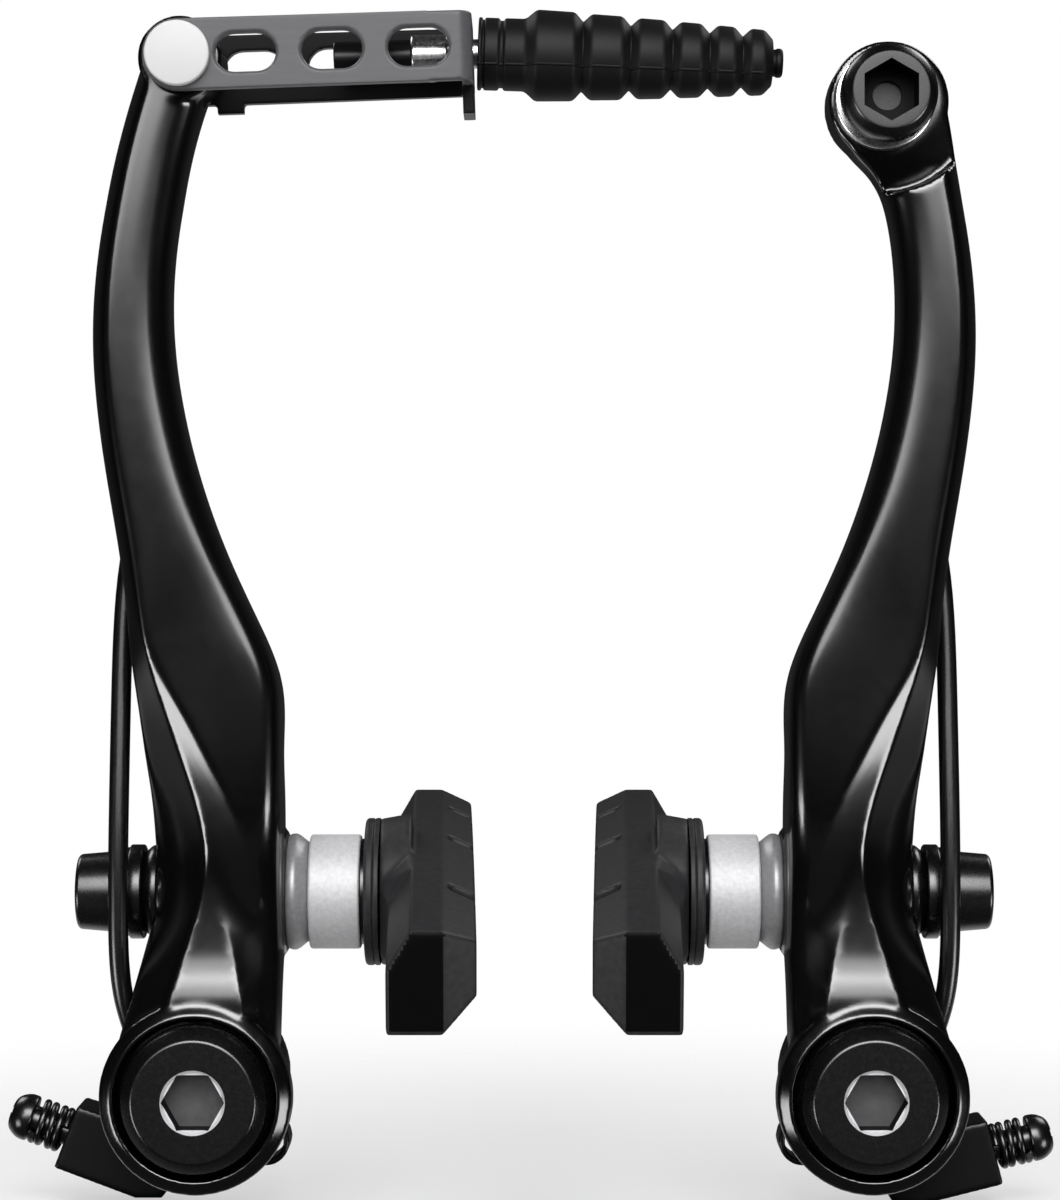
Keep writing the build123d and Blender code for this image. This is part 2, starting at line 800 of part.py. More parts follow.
end_plane = link_plane(guide_forward, link_reach)
wall_plane = Plane(end_plane.origin, x_dir=(0, 1, 0), z_dir=end_plane.x_dir)
with BuildPart() as link:
    with BuildSketch(link_plane(link_rear)):
        Circle(link_end_radius)
        with Locations((link_reach / 2, 0)):
            Rectangle(link_reach, link_height)
    extrude(amount=link_front - link_rear)
    with BuildSketch(link_plane(side_gap_rear)):
        with Locations((link_reach / 2 - link_sheet - link_end_radius, 0)):
            Rectangle(link_reach + 2 * link_end_radius, 3 * link_height)
    extrude(amount=side_gap_front - side_gap_rear, mode=Mode.SUBTRACT)
    wall = link.faces().sort_by(Axis(wall_plane.origin, wall_plane.z_dir))[-1]
    fillet(wall.edges().filter_by(Axis(wall_plane.origin, wall_plane.y_dir)), link_bend)
    with BuildSketch(link_plane(link_rear)):
        for index in range(3):
            with Locations((window_first + index * window_pitch, 0)):
                SlotOverall(window_length, window_height)
        Circle(pin_radius + running_clearance)
    extrude(amount=link_front - link_rear, mode=Mode.SUBTRACT)
    with BuildSketch(wall_plane):
        Circle(guide_neck_radius + running_clearance)
    extrude(amount=-link_sheet, mode=Mode.SUBTRACT)
    # tabs below the rear side and below the end wall
    with BuildSketch(link_plane(link_rear)):
        with Locations((link_tab_place, -link_height / 2)):
            Rectangle(link_tab_width, 2 * link_tab_drop)
    extrude(amount=link_sheet)
    with BuildSketch(wall_plane):
        with Locations((0, -link_height / 2 - wall_tab_drop / 2)):
            Rectangle(wall_tab_width, wall_tab_drop)
    extrude(amount=-link_sheet)
write(link.part, "cable_link")

# Link pin: a rivet through the ear and both sides of the link, with a bright flat cap
with BuildPart() as pin:
    with BuildSketch(front_plane(link_rear, pin_u, pin_height)):
        Circle(pin_radius)
    extrude(amount=link_front - link_rear)
    with BuildSketch(front_plane(link_front, pin_u, pin_height)):
        Circle(pin_cap_radius)
    extrude(amount=pin_cap_thickness)
    with BuildSketch(front_plane(link_rear - pin_cap_thickness, pin_u, pin_height)):
        Circle(pin_head_radius)
    extrude(amount=pin_cap_thickness)
write(pin.part, "link_pin")

# Guide tube: a turned metal end with a neck that seats in the link's end wall
guide_plane = link_plane(guide_forward)
guide_axis = Axis(guide_plane.origin, guide_plane.x_dir)
wall_in = link_reach - link_sheet
with BuildPart() as guide:
    with BuildSketch(guide_plane):
        with BuildLine():
            Polyline(
                (wall_in - guide_inner_length, cable_radius),
                (wall_in - guide_inner_length, guide_radius),
                (wall_in - guide_neck_length, guide_radius),
                (wall_in - guide_neck_length, guide_neck_radius),
                (link_reach + guide_outer_length, guide_neck_radius),
                (link_reach + guide_outer_length, cable_radius),
                close=True,
            )
        make_face()
    revolve(axis=guide_axis)
write(guide.part, "guide_tube")

# Guide liner: a black tube butted on the guide's inner end
with BuildPart() as liner:
    with BuildSketch(guide_plane):
        with Locations((wall_in - guide_inner_length - liner_length / 2, (liner_radius + cable_radius) / 2)):
            Rectangle(liner_length, liner_radius - cable_radius)
    revolve(axis=guide_axis)
write(liner.part, "guide_liner")

# Cable boot: hollow rubber bellows that taper towards the clamp
boot_plane = Plane(
    origin=end_plane.origin + end_plane.x_dir * boot_gap,
    x_dir=(cos(radians(-boot_tilt)), 0, sin(radians(-boot_tilt))),
    z_dir=(0, -1, 0),
)
boot_axis = Axis(boot_plane.origin, boot_plane.x_dir)
boot_bore = guide_neck_radius + boot_room
boot_points = [
    (0, boot_bore),
    (0, boot_lip_radius),
    (boot_lip_length, boot_lip_radius),
    (boot_lip_length, boot_collar_radius),
    (boot_collar_length, boot_collar_radius),
]
place = boot_collar_length + boot_cone_length
for fold in range(boot_folds):
    radius = boot_first_radius * boot_radius_shrink**fold
    length = boot_first_fold * boot_fold_shrink**fold
    boot_points += [(place, radius), (place + length, radius * boot_radius_shrink**0.5)]
    place += length + boot_notch_width
    boot_points += [(place - boot_notch_width / 2, radius * boot_radius_shrink - boot_notch)]
nipple_start = place - boot_notch_width / 2
boot_end = nipple_start + boot_nipple_length
boot_points += [
    (nipple_start, boot_nipple_radius),
    (boot_end, boot_nipple_radius),
    (boot_end, cable_radius),
    (nipple_start - boot_wall, cable_radius),
    (nipple_start - boot_wall, boot_bore),
]
with BuildPart() as boot:
    with BuildSketch(boot_plane):
        with BuildLine():
            Polyline(boot_points, close=True)
        make_face()
    revolve(axis=boot_axis)
write(boot.part, "cable_boot")

# Cable clamp washer: round, with a groove behind it where the cable lies above the bolt
with BuildPart() as clamp_washer:
    with BuildSketch(front_plane(eye_front, clamp_u, clamp_height)):
        Circle(clamp_washer_radius)
        Circle(bolt_shank_radius + post_clearance, mode=Mode.SUBTRACT)
    extrude(amount=clamp_washer_thickness)
    with BuildSketch(Plane.YZ.offset(clamp_u - clamp_washer_radius - pivot_x)):
        with Locations((-eye_front, clamp_height + bolt_shank_radius + cable_radius)):
            Circle(cable_radius)
    extrude(amount=2 * clamp_washer_radius, mode=Mode.SUBTRACT)
write_right(clamp_washer.part, "cable_clamp_washer")

# Cable clamp bolt: a tall head, narrower under its rim, with a hex socket whose corners point up and down
clamp_seat = eye_front + clamp_washer_thickness
clamp_end = clamp_seat + clamp_head_height
clamp_plane = Plane(
    origin=(clamp_u - pivot_x, 0, clamp_height), x_dir=(0, -1, 0), z_dir=(1, 0, 0)
)
with BuildPart() as clamp_bolt:
    with BuildSketch(clamp_plane):
        with BuildLine():
            Polyline(
                (arm_back, 0),
                (arm_back, bolt_shank_radius),
                (clamp_seat, bolt_shank_radius),
                (clamp_seat, clamp_head_radius - clamp_head_undercut),
                (clamp_seat + clamp_head_neck, clamp_head_radius),
                (clamp_end - clamp_head_bevel, clamp_head_radius),
                (clamp_end, clamp_head_radius - clamp_head_bevel),
                (clamp_end, 0),
                close=True,
            )
        make_face()
    revolve(axis=Axis(clamp_plane.origin, clamp_plane.x_dir))
    with BuildSketch(front_plane(clamp_end, clamp_u, clamp_height)):
        RegularPolygon(hex_radius, 6, rotation=90)
    extrude(amount=-hex_depth, mode=Mode.SUBTRACT)
write_right(clamp_bolt.part, "cable_clamp_bolt")
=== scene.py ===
from math import cos, pi, radians, sin, tan

import bmesh
import bpy
from mathutils import Matrix, Vector


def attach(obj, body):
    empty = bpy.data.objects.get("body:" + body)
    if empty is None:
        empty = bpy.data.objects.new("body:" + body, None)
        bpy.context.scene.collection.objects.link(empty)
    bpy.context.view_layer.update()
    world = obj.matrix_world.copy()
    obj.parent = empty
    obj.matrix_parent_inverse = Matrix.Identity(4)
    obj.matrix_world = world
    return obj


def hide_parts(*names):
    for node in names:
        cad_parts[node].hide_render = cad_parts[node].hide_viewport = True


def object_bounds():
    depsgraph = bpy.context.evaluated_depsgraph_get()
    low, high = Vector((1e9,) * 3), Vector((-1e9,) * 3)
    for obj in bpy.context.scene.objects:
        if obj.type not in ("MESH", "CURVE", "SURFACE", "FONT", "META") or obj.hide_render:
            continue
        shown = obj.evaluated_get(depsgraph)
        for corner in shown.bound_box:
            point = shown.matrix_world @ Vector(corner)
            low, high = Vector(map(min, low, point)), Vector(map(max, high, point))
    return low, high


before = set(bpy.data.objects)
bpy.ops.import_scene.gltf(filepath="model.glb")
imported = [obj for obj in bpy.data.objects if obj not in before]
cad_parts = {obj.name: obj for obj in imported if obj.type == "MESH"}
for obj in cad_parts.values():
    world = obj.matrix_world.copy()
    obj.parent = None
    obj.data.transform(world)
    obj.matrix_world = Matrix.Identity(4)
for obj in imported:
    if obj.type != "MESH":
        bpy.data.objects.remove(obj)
cad_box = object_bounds()

# Studio: a white cove, a pale round of floor, soft boxes for the gloss to mirror, and a fill lamp at a level
# at which a colour renders about as it is written. The camera stands straight in front of the wheel, and its
# distance and the height that it takes in are measured at the brake shoes' posts.
mm = 0.001
camera_distance = 340.0
view_height = 127.66
scene = bpy.context.scene
scene.view_settings.view_transform = "Standard"
camera_data = bpy.data.cameras.new("camera")
camera_data.sensor_fit = "VERTICAL"
camera_data.sensor_height = 24.0
camera_data.lens = camera_data.sensor_height * camera_distance / view_height
camera_data.clip_start = 10 * mm
camera = bpy.data.objects.new("camera", camera_data)
camera.location = (-0.45 * mm, -348.5 * mm, 51.1 * mm)
camera.rotation_euler = (radians(90), 0, 0)
scene.collection.objects.link(camera)
scene.camera = camera


def linear(hex_colour):
    # an sRGB hex colour as the linear values that shaders take
    shares = [int(hex_colour[i:i + 2], 16) / 255 for i in (1, 3, 5)]
    return [s / 12.92 if s <= 0.04045 else ((s + 0.055) / 1.055) ** 2.4 for s in shares] + [1.0]


def set_inputs(node, inputs):
    # puts constants on a node's sockets, or links to them
    for socket, value in inputs.items():
        if isinstance(value, bpy.types.NodeSocket):
            node.id_data.links.new(value, node.inputs[socket])
        else:
            node.inputs[socket].default_value = value


def add_node(tree, kind, inputs=None, **settings):
    # a node with its settings, its constants and its links
    node = tree.nodes.new(kind)
    for name, value in settings.items():
        setattr(node, name, value)
    set_inputs(node, inputs or {})
    return node


# the cove is white to the camera; reflections see it dim, apart from its lit sweep low behind the brake
world = bpy.data.worlds.new("white_cove")
world.use_nodes = True
scene.world = world
tree = world.node_tree
tree.nodes.clear()
path = add_node(tree, "ShaderNodeLightPath")
direction = add_node(tree, "ShaderNodeTexCoord").outputs["Generated"]
heading = add_node(tree, "ShaderNodeSeparateXYZ", {"Vector": direction})
behind = add_node(
    tree, "ShaderNodeMapRange", {"Value": heading.outputs["Y"], "From Min": 0.2, "From Max": 0.6},
)
below = add_node(
    tree, "ShaderNodeMapRange",
    {"Value": heading.outputs["Z"], "From Min": -0.2, "From Max": -0.27, "To Min": 0.02, "To Max": 0.8},
)
sweep = add_node(
    tree, "ShaderNodeMath", {0: behind.outputs["Result"], 1: below.outputs["Result"], 2: 0.01},
    operation="MULTIPLY_ADD",
)
reflected = add_node(
    tree, "ShaderNodeMath", {0: path.outputs["Is Glossy Ray"], 1: sweep.outputs[0]}, operation="MULTIPLY",
)
clear = add_node(
    tree, "ShaderNodeMath",
    {0: path.outputs["Is Camera Ray"], 1: path.outputs["Is Transmission Ray"]}, operation="MAXIMUM",
)
seen = add_node(
    tree, "ShaderNodeMath", {0: clear.outputs[0], 1: reflected.outputs[0]}, operation="MAXIMUM",
)
level = add_node(
    tree, "ShaderNodeMath", {0: path.outputs["Is Diffuse Ray"], 1: 0.45, 2: seen.outputs[0]},
    operation="MULTIPLY_ADD",
)
cove = add_node(tree, "ShaderNodeBackground", {"Color": linear("#ffffff"), "Strength": level.outputs[0]})
add_node(tree, "ShaderNodeOutputWorld", {"Surface": cove.outputs[0]})

# only reflections see the boxes, and only colours take the fill lamp's light
middle = Vector((0, -0.01, 0.05))
for name, place, width, height, power in (
    ("over_box", (0.0, -0.72, 0.52), 0.7, 0.36, 13.0),
    ("left_box", (-0.65, -0.43, -0.26), 0.3, 0.3, 4.0),
    ("right_box", (0.65, -0.43, -0.26), 0.3, 0.3, 4.0),
    ("front_box", (0.0, -0.9, 0.31), 1.1, 0.22, 6.0),
    ("left_rear_box", (-0.55, 0.5, 0.75), 0.4, 0.4, 3.0),
    ("right_rear_box", (0.55, 0.5, 0.75), 0.4, 0.4, 3.0),
    ("fill", (0.0, -0.6, 0.7), 0.8, 0.8, 6.0),
):
    lamp_data = bpy.data.lights.new(name, "AREA")
    lamp_data.shape = "RECTANGLE"
    lamp_data.size = width
    lamp_data.size_y = height
    lamp_data.energy = power
    lamp = bpy.data.objects.new(name, lamp_data)
    lamp.location = place
    lamp.visible_diffuse = name == "fill"
    lamp.visible_glossy = name != "fill"
    lamp.rotation_euler = (middle - Vector(place)).to_track_quat("-Z", "Y").to_euler()
    scene.collection.objects.link(lamp)


def new_finish(name):
    # a new material and its tree of nodes
    material = bpy.data.materials.new(name)
    material.use_nodes = True
    return material, material.node_tree


# the floor fades out into the white of the cove, and the gloss of the parts mirrors little of it
floor_radius = 160 * mm
floor_mesh = bmesh.new()
bmesh.ops.create_circle(floor_mesh, cap_ends=True, segments=96, radius=floor_radius)
bmesh.ops.translate(floor_mesh, verts=floor_mesh.verts, vec=(0, 0, cad_box[0][2]))
floor_data = bpy.data.meshes.new("floor")
floor_mesh.to_mesh(floor_data)
floor = bpy.data.objects.new("floor", floor_data)
scene.collection.objects.link(floor)
pale, tree = new_finish("pale_floor")
tree.nodes.clear()
path = add_node(tree, "ShaderNodeLightPath")
sight = add_node(
    tree, "ShaderNodeMath",
    {0: path.outputs["Is Camera Ray"], 1: path.outputs["Is Transmission Ray"]}, operation="MAXIMUM",
)
glow = add_node(tree, "ShaderNodeMath", {0: sight.outputs[0], 1: 0.55}, operation="MULTIPLY")
matt = add_node(tree, "ShaderNodeBsdfDiffuse", {"Color": linear("#f4f4f4")})
white = add_node(tree, "ShaderNodeEmission", {"Color": linear("#ffffff"), "Strength": 1.0})
lit = add_node(tree, "ShaderNodeMixShader", {0: glow.outputs[0], 1: matt.outputs[0], 2: white.outputs[0]})
spot = add_node(tree, "ShaderNodeTexCoord").outputs["Object"]
reach = add_node(tree, "ShaderNodeVectorMath", {0: spot}, operation="LENGTH")
fade = add_node(
    tree, "ShaderNodeMapRange",
    {"Value": reach.outputs["Value"], "From Min": 60 * mm, "From Max": 150 * mm},
    interpolation_type="SMOOTHSTEP",
)
dim = add_node(tree, "ShaderNodeMath", {0: path.outputs["Is Glossy Ray"], 1: 0.9}, operation="MULTIPLY")
clear = add_node(
    tree, "ShaderNodeMath", {0: fade.outputs["Result"], 1: dim.outputs[0]}, operation="MAXIMUM",
)
gone = add_node(tree, "ShaderNodeBsdfTransparent")
ground = add_node(
    tree, "ShaderNodeMixShader", {0: clear.outputs[0], 1: lit.outputs[0], 2: gone.outputs[0]},
)
add_node(tree, "ShaderNodeOutputMaterial", {"Surface": ground.outputs[0]})
floor_data.materials.append(pale)

# Arms: forged aluminium levers, machined at the pivot and the top ear and painted gloss black.
# Each is a cage of cuts through the lever, smoothed, fused with its turned boss and its ear and bored,
# then remeshed, so that every corner has the small round that paint gives a forging.
pivot_x = 34.75 * mm
arm_front = 22.0
arm_back = 13.6
corner = 1.6
foot_draft = 0.6
draft_top = 37.0

# points of the left arm are (u, forward, height) in millimetres from its pivot, and u runs in towards the
# wheel; the shoe's hole is given as (forward, height) and the seats of its washers as u
shoe_hole = (8.5, 20.1)
shoe_boss = 6.4
shoe_bore = 3.2
outer_seat = -4.95
inner_seat = 8.65
link_pin = (-1.55, 17.8, 106.6)
clamp = (-1.2, 0, 102.5)
clamp_seat = 19.6

# height, outer edge, inner edge, back, where the outer flank starts, then four points across the front as
# (u, forward), in millimetres: the ridge, the lower facet's border, a point in the scoop and its border
foot_levels = (
    (4.0, -8.9, 8.4, 6.5, 17.0, (-4.0, 21.7), (5.2, 21.7), (5.9, 21.45), (6.6, 21.2)),
    (10.3, -7.1, 8.55, 6.3, 16.2, (-2.9, 21.95), (4.7, 21.9), (5.6, 21.2), (6.6, 20.5)),
    (13.0, -6.4, 8.6, 4.6, 15.4, (-2.0, 20.85), (4.2, 20.8), (5.2, 20.2), (6.3, 19.5)),
    (16.5, -5.5, 8.65, 3.0, 14.2, (-0.8, 20.45), (3.1, 20.4), (4.5, 19.8), (6.0, 19.1)),
    (20.0, -5.0, 8.65, 3.0, 13.6, (0.3, 20.1), (2.1, 20.1), (4.0, 19.6), (6.2, 19.3)),
    (23.5, -4.9, 8.65, 3.0, 13.6, (1.2, 20.0), (1.4, 20.0), (4.8, 20.25), (6.5, 20.5)),
    (27.0, -5.1, 8.65, 3.0, 14.0, (0.85, 20.4), (1.1, 20.42), (3.7, 21.0), (5.1, 21.3)),
    (30.5, -5.3, 8.65, 3.4, 14.7, (0.05, 20.8), (0.3, 20.85), (2.6, 21.45), (3.75, 21.8)),
    (35.0, -5.9, 8.65, 6.4, 16.0, (-1.45, 21.0), (-1.2, 21.05), (0.5, 21.65), (1.4, arm_front)),
    (39.3, -6.3, 8.6, 9.6, 17.2, (-2.95, 21.15), (-2.75, 21.2), (-1.5, 21.73), (-0.9, arm_front)),
    (43.5, -6.8, 8.4, 12.6, 18.4, (-4.4, 21.7), (-4.2, 21.74), (-3.75, 21.9), (-3.5, arm_front)),
    (48.5, -7.4, 6.3, arm_back, 18.8, (-5.6, arm_front), (-5.5, arm_front), (-5.2, arm_front),
     (-5.0, arm_front)),
)
# above the foot each level is a share of the way up, its outer edge and its inner edge:
# first to the neck's top, then from there to the ear of each arm
foot_height = 43.5
neck_top = 92.0
neck_levels = (
    (0.258, -8.2, 2.6),
    (0.464, -10.1, -0.85),
    (0.691, -11.3, -2.9),
    (0.876, -10.7, -2.75),
    (1.0, -9.65, -1.75),
)
link_top = ((0.274, -8.9, -1.1), (0.65, -7.5, 0.3), (1.0, -5.85, 2.35))
clamp_top = (
    (0.21, -9.3, -0.7), (0.343, -9.05, 0.3), (0.495, -8.8, 2.1), (0.724, -8.45, 3.6), (0.924, -8.05, 4.1),
)
# how crisp each of a cut's eleven corners is, from the outer back corner round the front, low and high
foot_crispness = (0.4, 0.4, 0.5, 0.85, 0.6, 0.0, 0.7, 0.3, 0.3, 0.4, 0.4)
neck_crispness = (0.3, 0.3, 0.2, 0.2, 0.0, 0.0, 0.1, 0.1, 0.2, 0.3, 0.3)


def on_arm(u, forward, height):
    # where a point of the left arm stands in the brake's frame
    return Vector((u * mm - pivot_x, -forward * mm, height * mm))


def lever_cage(top_levels, top_height):
    # the bare lever as a cage of eleven-sided cuts, joined bottom to top
    cuts = list(foot_levels)
    neck_cuts = [(foot_height + share * (neck_top - foot_height), *edges) for share, *edges in neck_levels]
    top_cuts = [(neck_top + share * (top_height - neck_top), *edges) for share, *edges in top_levels]
    for height, outer, inner in neck_cuts + top_cuts:
        ridge = (outer + corner, arm_front)
        border = (inner - 2 * corner, arm_front)
        span = border[0] - ridge[0]
        near, far = [(ridge[0] + share * span, arm_front) for share in (1 / 3, 2 / 3)]
        cuts.append((height, outer, inner, arm_back, arm_front - 2 * corner, ridge, near, far, border))
    cage = bmesh.new()
    crease = cage.edges.layers.float.new("crease_edge")
    corner_of = {}
    loops = []
    for height, outer, inner, back, flank, ridge, near, far, border in cuts:
        front = border[1]
        drawn = inner - (foot_draft if height < draft_top else 0.0)
        outline = (
            (outer + corner / 2, back), (outer, back + corner / 2), (outer, flank), ridge, near, far, border,
            (inner - corner, front - corner / 4), (inner, front - corner), (drawn, back + corner / 2),
            (drawn - corner / 2, back),
        )
        verts = [cage.verts.new(on_arm(u, forward, height)) for u, forward in outline]
        corner_of.update({vert: index for index, vert in enumerate(verts)})
        loops.append([cage.edges.new(pair) for pair in zip(verts, verts[1:] + verts[:1])])
    for index, (low, high) in enumerate(zip(loops, loops[1:])):
        crispness = foot_crispness if index < len(foot_levels) - 1 else neck_crispness
        joined = bmesh.ops.bridge_loops(cage, edges=low + high)
        for edge in joined["edges"]:
            if corner_of[edge.verts[0]] == corner_of[edge.verts[1]]:
                edge[crease] = crispness[corner_of[edge.verts[0]]]
    for end in (loops[0], loops[-1]):
        bmesh.ops.edgeloop_fill(cage, edges=end)
        for edge in end:
            edge[crease] = 1.0
    bmesh.ops.recalc_face_normals(cage, faces=cage.faces)
    return cage


def rod(start, end, radius, end_radius=None, segments=128):
    # a closed round bar or taper between two points of the left arm, given as (u, forward, height)
    ends = [on_arm(*start), on_arm(*end)]
    along = ends[1] - ends[0]
    bar = bmesh.new()
    place = Matrix.Translation((ends[0] + ends[1]) / 2) @ along.to_track_quat("Z", "Y").to_matrix().to_4x4()
    bmesh.ops.create_cone(
        bar, cap_ends=True, segments=segments, radius1=radius * mm,
        radius2=(radius if end_radius is None else end_radius) * mm, depth=along.length, matrix=place,
    )
    return bar


def block(low, high):
    # a closed box between two corners of the left arm, given as (u, forward, height)
    ends = [on_arm(*low), on_arm(*high)]
    box = bmesh.new()
    size = [abs(b - a) for a, b in zip(*ends)]
    bmesh.ops.create_cube(
        box, size=1.0, matrix=Matrix.Translation((ends[0] + ends[1]) / 2) @ Matrix.Diagonal((*size, 1.0)),
    )
    return box


forward_axis = Vector((0, -1, 0))


def turned(profile, origin, along, steps=128, closed=False):
    # spins a profile of (distance, radius, rounding) about an axis from an origin (u, forward, height)
    shape = bmesh.new()
    verts = [shape.verts.new((radius * mm, 0, distance * mm)) for distance, radius, rounding in profile]
    for pair in zip(verts, verts[1:] + verts[:1] if closed else verts[1:]):
        shape.edges.new(pair)
    for vert, (distance, radius, rounding) in zip(verts, profile):
        if rounding:
            bmesh.ops.bevel(
                shape, geom=[vert], offset=rounding * mm, offset_type="OFFSET", segments=4, profile=0.5,
                affect="VERTICES", material=-1,
            )
    bmesh.ops.spin(
        shape, geom=shape.verts[:] + shape.edges[:], axis=(0, 0, 1), cent=(0, 0, 0), angle=2 * pi,
        steps=steps, use_merge=True,
    )
    bmesh.ops.remove_doubles(shape, verts=shape.verts, dist=0.001 * mm)
    bmesh.ops.recalc_face_normals(shape, faces=shape.faces)
    place = Matrix.Translation(on_arm(*origin)) @ along.to_track_quat("Z", "Y").to_matrix().to_4x4()
    bmesh.ops.transform(shape, matrix=place, verts=shape.verts)
    return shape


def forged(base, added, cut, grain=0, passes=0, rounds=0):
    # fuses closed shells into a base, smoothed in so many rounds, and cuts others out; given a grain, every
    # corner is then rounded to about its size
    shells = []
    for shell in (base, *added, *cut):
        data = bpy.data.meshes.new("shell")
        shell.to_mesh(data)
        shell.free()
        shells.append(bpy.data.objects.new("shell", data))
        scene.collection.objects.link(shells[-1])
    if rounds:
        smooth = shells[0].modifiers.new("smooth", "SUBSURF")
        smooth.levels = rounds
        smooth.render_levels = rounds
    for index, shell in enumerate(shells[1:]):
        joint = shells[0].modifiers.new("joint", "BOOLEAN")
        joint.object = shell
        joint.operation = "UNION" if index < len(added) else "DIFFERENCE"
        joint.solver = "MANIFOLD"
    if grain:
        skin = shells[0].modifiers.new("skin", "REMESH")
        skin.mode = "VOXEL"
        skin.voxel_size = grain * mm
        even = shells[0].modifiers.new("even", "SMOOTH")
        even.factor = 0.5
        even.iterations = passes
    graph = bpy.context.evaluated_depsgraph_get()
    data = bpy.data.meshes.new_from_object(shells[0].evaluated_get(graph))
    for shell in shells:
        bpy.data.meshes.remove(shell.data)
    return data


def dress(name, data, material, body, *nodes):
    # puts a finished mesh on the brake as a piece that moves with a body and stands for CAD nodes
    data.name = name
    data.materials.clear()
    data.materials.append(material)
    data.shade_smooth()
    piece = bpy.data.objects.new(name, data)
    scene.collection.objects.link(piece)
    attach(piece, body)
    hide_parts(*nodes)
    return piece


def mirrored(data):
    # turns a left-hand mesh into its right-hand image
    data.transform(Matrix.Scale(-1, 4, (1, 0, 0)))
    data.flip_normals()
    return data


def arm_shells(ear, ear_radius, ear_front):
    # what is fused to a lever: the pivot boss with its sloping lip, the shoe's boss and the top ear
    u, height = ear
    return [
        rod((0, 6.2, 0), (0, 16.6, 0), 8.4),
        rod((0, 16.5, 0), (0, 18.5, 0), 8.4, 9.9),
        rod((0, 18.4, 0), (0, 21.6, 0), 9.9),
        rod((0, 21.5, 0), (0, 22.4, 0), 9.95, 8.6),
        rod((outer_seat, *shoe_hole), (inner_seat, *shoe_hole), shoe_boss),
        rod((u, arm_back, height), (u, ear_front, height), ear_radius),
    ]


def arm_cuts():
    # what is machined out of a lever: washer seats, holder's room, bush bore, bolt recess, spring room, holes
    return [
        rod((outer_seat, *shoe_hole), (-7.5, *shoe_hole), shoe_boss),
        rod((inner_seat, *shoe_hole), (10.5, *shoe_hole), shoe_boss),
        rod((0, -0.3, 0), (0, 6.2, 0), 10.2),
        rod((0, 5.0, 0), (0, 23.0, 0), 5.05),
        rod((0, 20.2, 0), (0, 23.0, 0), 8.3),
        rod((0, 5.0, 0), (0, 13.55, 0), 7.65),
        block((-12.0, 5.0, -1.0), (-5.4, 14.6, 11.05)),
        rod((-12.0, *shoe_hole), (12.0, *shoe_hole), shoe_bore),
    ]


# gloss black paint: a deep black with a broad soft shine, broken by the faint orange peel of spraying
black_paint, tree = new_finish("gloss_black_paint")
spot = add_node(tree, "ShaderNodeTexCoord").outputs["Object"]
peel = add_node(tree, "ShaderNodeTexNoise", {"Vector": spot, "Scale": 1 / (1.2 * mm), "Detail": 2.0})
haze = add_node(tree, "ShaderNodeMapRange", {"Value": peel.outputs[0], "To Min": 0.16, "To Max": 0.2})
dent = add_node(tree, "ShaderNodeBump", {"Height": peel.outputs[0], "Strength": 0.06, "Distance": 0.02 * mm})
set_inputs(tree.nodes["Principled BSDF"], {
    "Base Color": linear("#060607"), "IOR": 1.55, "Roughness": haze.outputs["Result"],
    "Normal": dent.outputs["Normal"],
})

# both ears are bored; the right one also has a flat seat for its washer, with sloping ground round it
link_u, link_height = link_pin[0], link_pin[2]
left_arm = forged(
    lever_cage(link_top, link_height), arm_shells((link_u, link_height), 4.3, arm_front),
    arm_cuts() + [rod((link_u, 12.0, link_height), (link_u, 24.0, link_height), 2.05)],
    grain=0.29, passes=5, rounds=4,
)
dress("left_arm_painted", left_arm, black_paint, "left_lever", "left_arm")
clamp_u, clamp_height = clamp[0], clamp[2]
seat_slope = ((clamp_seat, 5.6, 0), (clamp_seat - 1.0, 9.6, 0), (24.0, 9.6, 0), (24.0, 5.6, 0))
right_arm = forged(
    lever_cage(clamp_top, clamp_height), arm_shells((-1.8, clamp_height), 6.2, clamp_seat),
    arm_cuts() + [
        rod((clamp_u, clamp_seat, clamp_height), (clamp_u, 24.0, clamp_height), 9.6),
        turned(seat_slope, clamp, forward_axis, closed=True),
        rod((clamp_u, 12.0, clamp_height), (clamp_u, 24.0, clamp_height), 3.05),
    ],
    grain=0.29, passes=5, rounds=4,
)
dress("right_arm_painted", mirrored(right_arm), black_paint, "right_lever", "right_arm")


# Pivot bolts: black zinc-plated steel, turned with a wide bevelled head, and a broached hex socket
# whose chamfer carries a painted highlight as a bright ring. Each screws into a stud of the bicycle's frame.
def hex_key(start, end, across, turn=0.0):
    # a closed hex bar between two points, turned about its own line, as a socket's broach
    bar = rod(start, end, across / 2 / cos(radians(30)), segments=6)
    foot = on_arm(*start)
    twist = Matrix.Rotation(radians(turn), 3, on_arm(*end) - foot)
    bmesh.ops.rotate(bar, cent=foot, matrix=twist, verts=bar.verts)
    return bar


def mesh_of(shape):
    # a bmesh as a mesh, which frees it
    data = bpy.data.meshes.new("piece")
    shape.to_mesh(data)
    shape.free()
    return data


def crisp(piece):
    # machined flats: edges sharper than 40 degrees stay sharp, and large faces keep their own shading
    piece.data.set_sharp_from_angle(angle=radians(40))
    flat = piece.modifiers.new("flat", "WEIGHTED_NORMAL")
    flat.keep_sharp = True


def dress_pair(node, data, material, bodies, machined=True, other=None):
    # the left piece as it stands and, on the right, its mirror image or that of the other mesh
    opposite = mirrored(other or data.copy())
    pieces = []
    for side, half, body in zip(("left", "right"), (data, opposite), bodies):
        pieces.append(dress(f"{side}_{node}_piece", half, material, body, f"{side}_{node}"))
        if machined:
            crisp(pieces[-1])
    return pieces


levers = ("left_lever", "right_lever")
studs = ("pivots", "pivots")

